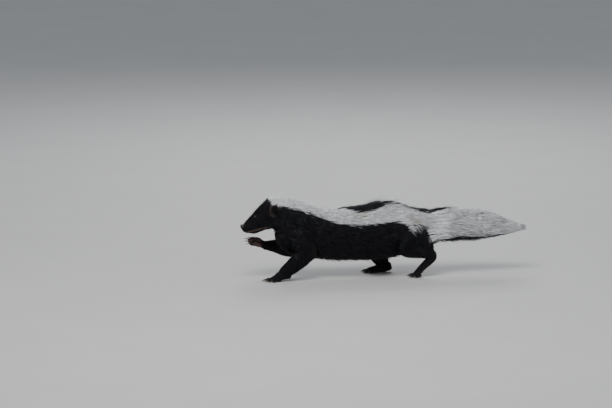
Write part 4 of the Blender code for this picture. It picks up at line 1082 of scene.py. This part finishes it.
def make_coat(skin):
    """All the hair: short on the face and feet, long on neck and body, and the plume of the tail."""
    draw = np.random.default_rng(COAT_SEED)
    surface = Surface(skin)
    samples = chain_samples()
    _, sizes, _ = read_coat(surface.points, samples)
    bare = bare_share(surface.points, surface.normals)
    tail = smoothstep(0.088, 0.110, surface.points[:, 0]) * (surface.points[:, 2] > TAIL_ABOVE)
    long_hair = smoothstep(0.0105, 0.0135, sizes[:, LENGTH])
    made = []
    for name, share in (("coat_short", 1 - long_hair), ("coat_long", long_hair)):
        where = share * (1 - tail)
        tuft_area = sizes[:, LENGTH] * sizes[:, HALF] * TUFT_FILL
        density = where * (1 - bare) * COAT_LAYERS[name]["cover"] / tuft_area
        density[where * (1 - bare) < 0.05] = 0.0
        made += make_layer(name, surface, samples, density, draw)
    return made + make_plume(surface, draw)


def make_plume(surface, draw):
    """The long hair of the tail, which sweeps back from the slender tail to the plume's outline."""
    x = surface.points[:, 0]
    where = smoothstep(0.080, 0.100, x) * (surface.points[:, 2] > TAIL_ABOVE)
    density = where * (PLUME_DENSITY + PLUME_DENSER * smoothstep(0.15, 0.25, x))
    roots, normals, uvs = surface.scatter(density, draw)
    count = len(roots)
    centre, _ = reach_at(TAIL_ROWS, roots[:, 0], np.zeros(count))
    turn = np.arctan2(roots[:, 1], roots[:, 2] - centre)
    length = TAIL_HAIR[0] * draw.uniform(0.75, 1.25, count)
    length *= 1 - 0.20 * smoothstep(0.24, 0.275, roots[:, 0])
    loose = draw.random(count) < LOOSE_SHARE
    reach = 1.0 - 0.62 * draw.random(count) ** 1.7 + loose * draw.uniform(0.02, 0.16, count)
    sweep = draw.normal(0.0, 0.15, count)
    start = np.hypot(roots[:, 1], roots[:, 2] - centre)
    paths = np.empty((count, PLUME_STEPS, 3))
    paths[:, 0] = roots - normals * ROOT_DEPTH
    for s in range(1, PLUME_STEPS):
        share = s / (PLUME_STEPS - 1)
        x = roots[:, 0] + length * share
        here = turn + sweep * share
        middle, outline = reach_at(TAIL_ROWS, np.minimum(x, TAIL_TIP), here)
        rise = 0.7 * math.sin(0.5 * math.pi * share) ** 1.1 + 0.3 * share
        radius = start * (1 - rise) + np.maximum(outline * reach, start * 0.4) * rise
        droop = 0.0020 * share ** 2
        paths[:, s] = np.stack([x, np.sin(here) * radius, middle + np.cos(here) * radius - droop], axis=1)
    paths = clump(paths, roots, draw.uniform(0.25, 0.75, count) * (1 - 0.8 * loose), PLUME_EVERY, draw)
    outward = unit(np.stack([np.zeros(count), np.sin(turn), np.cos(turn)], axis=1))
    colours = colours_of(paths[:, 2], np.zeros((count, PARTS)), draw)
    streak = np.sin(turn * 9.0 + 3.0 * np.sin(roots[:, 0] * 60.0)) * 0.5 + 0.5
    paler_end = 1 - 0.6 * smoothstep(0.19, 0.26, roots[:, 0])
    dark = draw.random(count) < (0.03 + 0.10 * streak ** 3) * paler_end
    colours["white"] = np.where(dark, 0.0, colours["white"])
    half = TAIL_HAIR[1] * draw.uniform(0.5, 1.1, count) * (1 - 0.3 * loose)
    return add_coat("coat_tail", paths, outward, half, colours, uvs)


def make_whiskers(draw):
    """Stiff whiskers on the sides of the muzzle, in rows, and over the eyes."""
    paths = []
    for side in (LEFT, RIGHT):
        out = Vector((0, side, 0))
        for row, column in np.ndindex(WHISKER_ROWS, WHISKERS_IN_ROW):
            root = on_head(0.0105 + 0.0028 * column, -0.0030 - 0.0032 * row, 0.0088 + 0.0004 * column, side)
            way = out * 0.80 - HEAD_AXIS * (0.30 - 0.22 * column) - HEAD_UP * (0.10 + 0.16 * row)
            way = way.normalized()
            length = 0.013 + 0.0042 * column + draw.uniform(-0.002, 0.003)
            bend = HEAD_AXIS * 0.35 - HEAD_UP * 0.18
            paths.append([root + way * (length * s) + bend * (length * s * s) for s in WHISKER_STEPS])
        for k in range(BROW_WHISKERS):
            root = on_head(0.0385 + 0.0030 * k, 0.0150 + 0.0006 * k, 0.0095 + 0.0010 * k, side)
            way = (out * 0.6 + HEAD_UP * 0.7 + HEAD_AXIS * 0.2).normalized()
            paths.append([root + way * (0.008 * s) + HEAD_AXIS * (0.007 * s * s) for s in WHISKER_STEPS])
    count = len(paths)
    none = np.zeros(count)
    colours = {"white": none, "tone": np.full(count, 0.4), "stain": none, "tan": none}
    half = np.full(count, WHISKER_HALF_WIDTH)
    uvs = np.stack([np.linspace(0.1, 0.9, count), np.full(count, 0.5)], axis=1)
    outward = np.array([HEAD_UP] * count)
    return tuft_mesh("whiskers", np.array(paths), outward, half, colours, uvs, WHISKER_THICKNESS)


def make_eye(side, word):
    """An eyeball with its clear front bulging a little."""
    centre, gaze, up, across = eye_frame(side)
    turn = Matrix((across, up, gaze)).transposed()
    points, faces = ball_parts((0, 0, 0), [1.0] * 3, 40, 28)
    shaped = []
    for p in points:
        bulge = 1.0 + CORNEA_BULGE * smoothstep(0.70, 0.95, p.z)
        shaped.append(p * (EYE_RADIUS * float(bulge)))
    eye = new_object(f"eyeball_{word}", ([centre + turn @ p for p in shaped], faces))
    set_attribute(eye.data, "gaze", [p.z for p in points])
    return eye


def make_nose():
    """The bare nose pad with its nostrils and the groove between them."""
    turn = Matrix.Rotation(-HEAD_TILT, 3, "Y")
    points, faces = ball_parts((0, 0, 0), NOSE_RADII, 72, 52)
    shaped = []
    for p in points:
        aside = abs(p.y)
        drop = p.z + 0.0004 + 0.3 * (aside - NOSTRIL_ASIDE)
        pit = bell(aside, NOSTRIL_ASIDE, 0.0012) * bell(drop, 0.0, 0.0010)
        slit = bell(aside, NOSTRIL_ASIDE + 0.0015, 0.0012) * bell(p.z, -0.0011, 0.0006)
        groove = bell(p.y, 0.0, 0.0005) * smoothstep(0.0012, -0.0012, p.z)
        wing = bell(aside, NOSTRIL_ASIDE + 0.0009, 0.0016) * bell(p.z, 0.0014, 0.0012)
        depth = 0.0020 * pit + 0.0013 * slit + 0.0005 * groove - 0.0004 * wing
        shaped.append(p - p.normalized() * float(depth * smoothstep(0.0, 0.003, -p.x)))
    centre = on_head(*NOSE_PLACE)
    return new_object("nose", ([centre + turn @ p for p in shaped], faces))


def make_claws(name):
    """The five curved claws of a paw, thicker above than below."""
    paw = PAWS[name]
    toe_up, claw = paw.toes[2], paw.sizes["claw"]
    forms, along = [], []
    for base, direction, length in paw_toes(paw):
        root = base + direction * (length + 0.0020 - CLAW_SINK) + toe_up * 0.0003
        across = direction.cross(toe_up).normalized()
        points = []
        for r in range(CLAW_RINGS):
            share = r / (CLAW_RINGS - 1)
            drop = CLAW_DROP * share ** 2.2
            size = 1 - 0.86 * share ** 1.6
            middle = root + direction * (claw * share) - toe_up * (claw * drop)
            for k in range(CLAW_SIDES):
                angle = 2 * math.pi * k / CLAW_SIDES
                thick = 1.25 if math.sin(angle) > 0 else 0.95
                points.append(middle + across * (CLAW_RADIUS * 0.92 * size * math.cos(angle))
                              + toe_up * (CLAW_RADIUS * thick * size * math.sin(angle)))
            along += [share] * CLAW_SIDES
        points += [root, root + direction * (claw * 1.01) - toe_up * (claw * (CLAW_DROP + 0.005))]
        along += [0.0, 1.0]
        forms.append((points, ring_faces(CLAW_RINGS, CLAW_SIDES)))
    claws = new_object(f"claws_{name}", join_parts(*forms))
    set_attribute(claws.data, "along", along)
    return claws


class Nodes:
    """Short calls for building one material."""

    def __init__(self, name, roughness):
        self.material = bpy.data.materials.new(name)
        self.material.use_nodes = True
        self.tree = self.material.node_tree
        self.shader = self.tree.nodes["Principled BSDF"]
        self.set("Roughness", roughness)

    def add(self, kind, inputs, **settings):
        """A node, with each of its inputs given as a value or as another node's output."""
        node = self.tree.nodes.new(kind)
        for key, value in settings.items():
            setattr(node, key, value)
        for key, value in inputs.items():
            self.give(node.inputs[key], value)
        return node.outputs

    def give(self, socket, value):
        if isinstance(value, bpy.types.NodeSocket):
            self.tree.links.new(value, socket)
        else:
            socket.default_value = value

    def set(self, name, value):
        self.give(self.shader.inputs[name], value)

    def read(self, name):
        return self.add("ShaderNodeAttribute", {}, attribute_name=name)["Fac"]

    def coordinates(self):
        return self.add("ShaderNodeTexCoord", {})["Object"]

    def mix(self, factor, first, second):
        """A colour between two, each given as a colour or as an output."""
        ends = [end if isinstance(end, bpy.types.NodeSocket) else (*end, 1.0) for end in (first, second)]
        return self.add("ShaderNodeMix", {0: factor, 6: ends[0], 7: ends[1]}, data_type="RGBA")[2]

    def noise(self, scale, detail=3.0, stretch=(1.0, 1.0, 1.0)):
        mapped = self.add("ShaderNodeMapping", {"Vector": self.coordinates(), "Scale": stretch})["Vector"]
        return self.add("ShaderNodeTexNoise", {"Scale": scale, "Detail": detail, "Vector": mapped})["Fac"]

    def ramp(self, factor, low, high):
        """The factor spread from 0 at low to 1 at high."""
        return self.add("ShaderNodeMapRange", {"From Min": low, "From Max": high, "Value": factor})["Result"]

    def bump(self, height, strength, distance):
        inputs = {"Strength": strength, "Distance": distance, "Height": height}
        self.set("Normal", self.add("ShaderNodeBump", inputs)["Normal"])

    def colour(self, output):
        self.set("Base Color", output)


BLACK_ROOT = (0.0055, 0.0052, 0.0058)
BLACK_TIP = (0.0130, 0.0125, 0.0150)
BROWN_BLACK = (0.0200, 0.0150, 0.0120)
WHITE_ROOT = (0.66, 0.655, 0.65)
WHITE_TIP = (0.90, 0.905, 0.915)
BUFF = (0.46, 0.37, 0.27)
# painted warm bounce light under the lower lip and on the chin, also the paler brown of the ears' front rims
CHIN_BOUNCE_AND_EAR_RIM_BROWN = (0.24, 0.155, 0.120)
SOLE = (0.100, 0.058, 0.047)
SOLE_DARK = (0.046, 0.028, 0.024)
SKIN_BLACK = (0.0070, 0.0066, 0.0070)
SKIN_WHITE = (0.50, 0.49, 0.47)
WHITE_DULL = (0.60, 0.58, 0.54)
HAIR_SHEEN = (0.82, 0.88, 1.0, 1.0)
SKIN_BLACK_PALER = (0.014, 0.012, 0.012)
NOSE_BROWN, NOSE_BLACK = (0.022, 0.014, 0.013), (0.009, 0.006, 0.006)
IRIS, IRIS_DARK = (0.012, 0.006, 0.004), (0.005, 0.003, 0.002)
PUPIL, EYE_RIM = (0.001, 0.001, 0.001), (0.010, 0.006, 0.005)
CLAW_DARK, CLAW_BROWN, CLAW_TIP = (0.045, 0.034, 0.029), (0.085, 0.064, 0.053), (0.20, 0.165, 0.135)
FLOOR_PALE, FLOOR_GREY = (0.56, 0.555, 0.545), (0.51, 0.507, 0.50)


def coat_material():
    made = Nodes("hair", 0.38)
    along, tone = made.read("along"), made.read("tone")
    black = made.mix(along, BLACK_ROOT, BLACK_TIP)
    black = made.mix(made.ramp(tone, 0.72, 1.0), black, BROWN_BLACK)
    # painted warm bounce light on the chin's black hair, and the brown front rims of the ears
    black = made.mix(made.read("tan"), black, CHIN_BOUNCE_AND_EAR_RIM_BROWN)
    white = made.mix(made.ramp(along, 0.0, 0.55), WHITE_ROOT, WHITE_TIP)
    white = made.mix(made.ramp(tone, 0.55, 1.4), white, WHITE_DULL)
    white = made.mix(made.read("stain"), white, BUFF)
    made.colour(made.mix(made.read("white"), black, white))
    made.set("Specular IOR Level", 0.32)
    made.set("Specular Tint", HAIR_SHEEN)
    return made.material


def skin_material():
    made = Nodes("skin", 0.62)
    grain = made.noise(1500.0, 4.0)
    patch = made.noise(55.0, 3.0)
    dark = made.mix(patch, SKIN_BLACK, SKIN_BLACK_PALER)
    # painted warm bounce light on the chin's skin, and the brown front rims of the ears
    dark = made.mix(made.read("tan"), dark, CHIN_BOUNCE_AND_EAR_RIM_BROWN)
    pale = made.mix(made.read("stain"), SKIN_WHITE, BUFF)
    fur = made.mix(made.read("white"), dark, pale)
    sole = made.mix(made.noise(220.0, 4.0), SOLE, SOLE_DARK)
    made.colour(made.mix(made.read("sole"), fur, sole))
    made.bump(grain, 0.5, 0.0004)
    made.set("Specular IOR Level", 0.14)
    return made.material


def nose_material():
    made = Nodes("nose_leather", 0.34)
    pebbles = made.add("ShaderNodeTexVoronoi", {"Scale": 1700.0, "Vector": made.coordinates()})
    made.colour(made.mix(made.noise(400.0, 3.0), NOSE_BROWN, NOSE_BLACK))
    made.bump(pebbles["Distance"], 0.45, 0.00025)
    made.set("Coat Weight", 0.18)
    made.set("Coat Roughness", 0.35)
    return made.material


def eye_material():
    made = Nodes("eye_wet", 0.08)
    gaze = made.read("gaze")
    iris = made.mix(made.noise(2600.0, 2.0), IRIS, IRIS_DARK)
    pupil = made.ramp(gaze, 0.915, 0.94)
    rim = made.ramp(gaze, 0.66, 0.60)
    made.colour(made.mix(rim, made.mix(pupil, iris, PUPIL), EYE_RIM))
    made.set("Specular IOR Level", 0.30)
    made.set("Coat Weight", 0.55)
    made.set("Coat Roughness", 0.03)
    return made.material


def claw_material():
    made = Nodes("claw_keratin", 0.36)
    along = made.read("along")
    streak = made.noise(900.0, 3.0, (0.25, 1.0, 1.0))
    made.colour(made.mix(made.ramp(along, 0.30, 1.0), made.mix(streak, CLAW_DARK, CLAW_BROWN), CLAW_TIP))
    made.bump(streak, 0.3, 0.00012)
    return made.material


def floor_material():
    made = Nodes("pale_floor", 0.75)
    made.colour(made.mix(made.noise(6.0, 3.0), FLOOR_PALE, FLOOR_GREY))
    return made.material


def place(obj, material, slot, *nodes):
    """Moves a piece to the model's place, gives it its material, and hides the nodes of the model that it
    stands for.
    """
    obj.data.transform(Matrix.Translation(SHIFT))
    dress(obj, material, slot)
    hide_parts(*nodes)
    obj.data.shade_smooth()


def dress(obj, material, slot):
    obj.data.materials.clear()
    obj.data.materials.append(material)
    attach(obj, "root")


FLESH = ["head", "neck", "torso", "tail", "ear_left", "ear_right", "foreleg_left", "foreleg_right",
         "hindleg_left", "hindleg_right", "forepaw_left", "forepaw_right", "hindpaw_left", "hindpaw_right"]


def build():
    skin = make_skin()
    unwrap_skin(skin)
    points, normals = mesh_points(skin.data), mesh_normals(skin.data)
    lies, sizes, parts = read_coat(points, chain_samples())
    middles = points + lies * (sizes[:, :1] / 2)
    set_attribute(skin.data, "white", white_share(middles, parts))
    set_attribute(skin.data, "sole", sole_share(points, normals))
    set_attribute(skin.data, "stain", stain_share(middles))
    # painted warm bounce light on the chin, with the paler brown front rims of the ears
    set_attribute(skin.data, "tan", chin_bounce_and_ear_rim_share(points))
    hair = coat_material()
    for piece in make_coat(skin):
        dress(piece, hair, "coat_white" if piece.name.startswith("coat_tail") else "coat_black")
    dress(make_whiskers(np.random.default_rng(WHISKER_SEED)), hair, "coat_black")
    place(skin, skin_material(), "coat_black", *FLESH)
    eye_look, claw_look = eye_material(), claw_material()
    for side, word in ((LEFT, "left"), (RIGHT, "right")):
        place(make_eye(side, word), eye_look, "eye_dark", f"eye_{word}")
    place(make_nose(), nose_material(), "nose_skin", "nose_pad")
    for name in PAWS:
        place(make_claws(name), claw_look, "claw_horn", *[f"claw_{name}_{i + 1}" for i in range(TOES)])


# Camera: where the photograph's frame lies on the plane through the animal
METRES_PER_PIXEL = 0.0022
ORIGIN_PIXEL = (383.5, 274.9)
IMAGE = (612, 408)
VIEW_AZIMUTH, VIEW_ELEVATION = math.radians(-10.0), math.radians(10.0)
CAMERA_DISTANCE = 12.0
FLOOR_SIZE = 80.0
SKY_COLOUR, SKY_STRENGTH = (0.86, 0.92, 1.0, 1.0), 0.40
LIGHTS_AIM = Vector((0, 0, 0.08))
LIGHTS = {                        # place, size, power, colour
    "key": ((-0.8, -1.3, 2.3), 1.3, 52.0, (1.0, 0.985, 0.96)),
    "fill": ((1.8, -1.6, 1.0), 1.8, 12.0, (0.95, 0.97, 1.0)),
    "rim": ((0.3, 1.9, 1.6), 1.2, 24.0, (1.0, 1.0, 1.0)),
}


def add_camera():
    az, el = VIEW_AZIMUTH, VIEW_ELEVATION
    back = Vector((math.sin(az) * math.cos(el), -math.cos(az) * math.cos(el), math.sin(el)))
    right = Vector((math.cos(az), math.sin(az), 0.0))
    up = back.cross(right)
    target = (SHIFT + right * ((IMAGE[0] / 2 - ORIGIN_PIXEL[0]) * METRES_PER_PIXEL)
              + up * ((ORIGIN_PIXEL[1] - IMAGE[1] / 2) * METRES_PER_PIXEL))
    data = bpy.data.cameras.new("camera")
    camera = bpy.data.objects.new("camera", data)
    bpy.context.scene.collection.objects.link(camera)
    camera.location = target + back * CAMERA_DISTANCE
    camera.rotation_mode = "QUATERNION"
    camera.rotation_quaternion = (-back).to_track_quat("-Z", "Y")
    data.sensor_width = 36.0
    data.lens = data.sensor_width * CAMERA_DISTANCE / (IMAGE[0] * METRES_PER_PIXEL)
    data.clip_end = 60.0
    bpy.context.scene.camera = camera


def add_light(name, place_at, size, power, colour):
    data = bpy.data.lights.new(name, "AREA")
    data.shape = "SQUARE"
    data.size = size
    data.energy = power
    data.color = colour
    light = bpy.data.objects.new(name, data)
    light.location = place_at
    light.rotation_mode = "QUATERNION"
    light.rotation_quaternion = (LIGHTS_AIM - Vector(place_at)).to_track_quat("-Z", "Y")
    bpy.context.scene.collection.objects.link(light)


def add_stage():
    edge = FLOOR_SIZE / 2
    corners = [(-edge, -edge, 0), (edge, -edge, 0), (edge, edge, 0), (-edge, edge, 0)]
    floor = new_object("floor", (corners, [(0, 1, 2, 3)]))
    floor.data.materials.append(floor_material())
    world = bpy.data.worlds.new("studio")
    world.use_nodes = True
    background = world.node_tree.nodes["Background"]
    background.inputs["Color"].default_value = SKY_COLOUR
    background.inputs["Strength"].default_value = SKY_STRENGTH
    bpy.context.scene.world = world
    for name, light in LIGHTS.items():
        add_light(name, *light)


build()
add_camera()
add_stage()
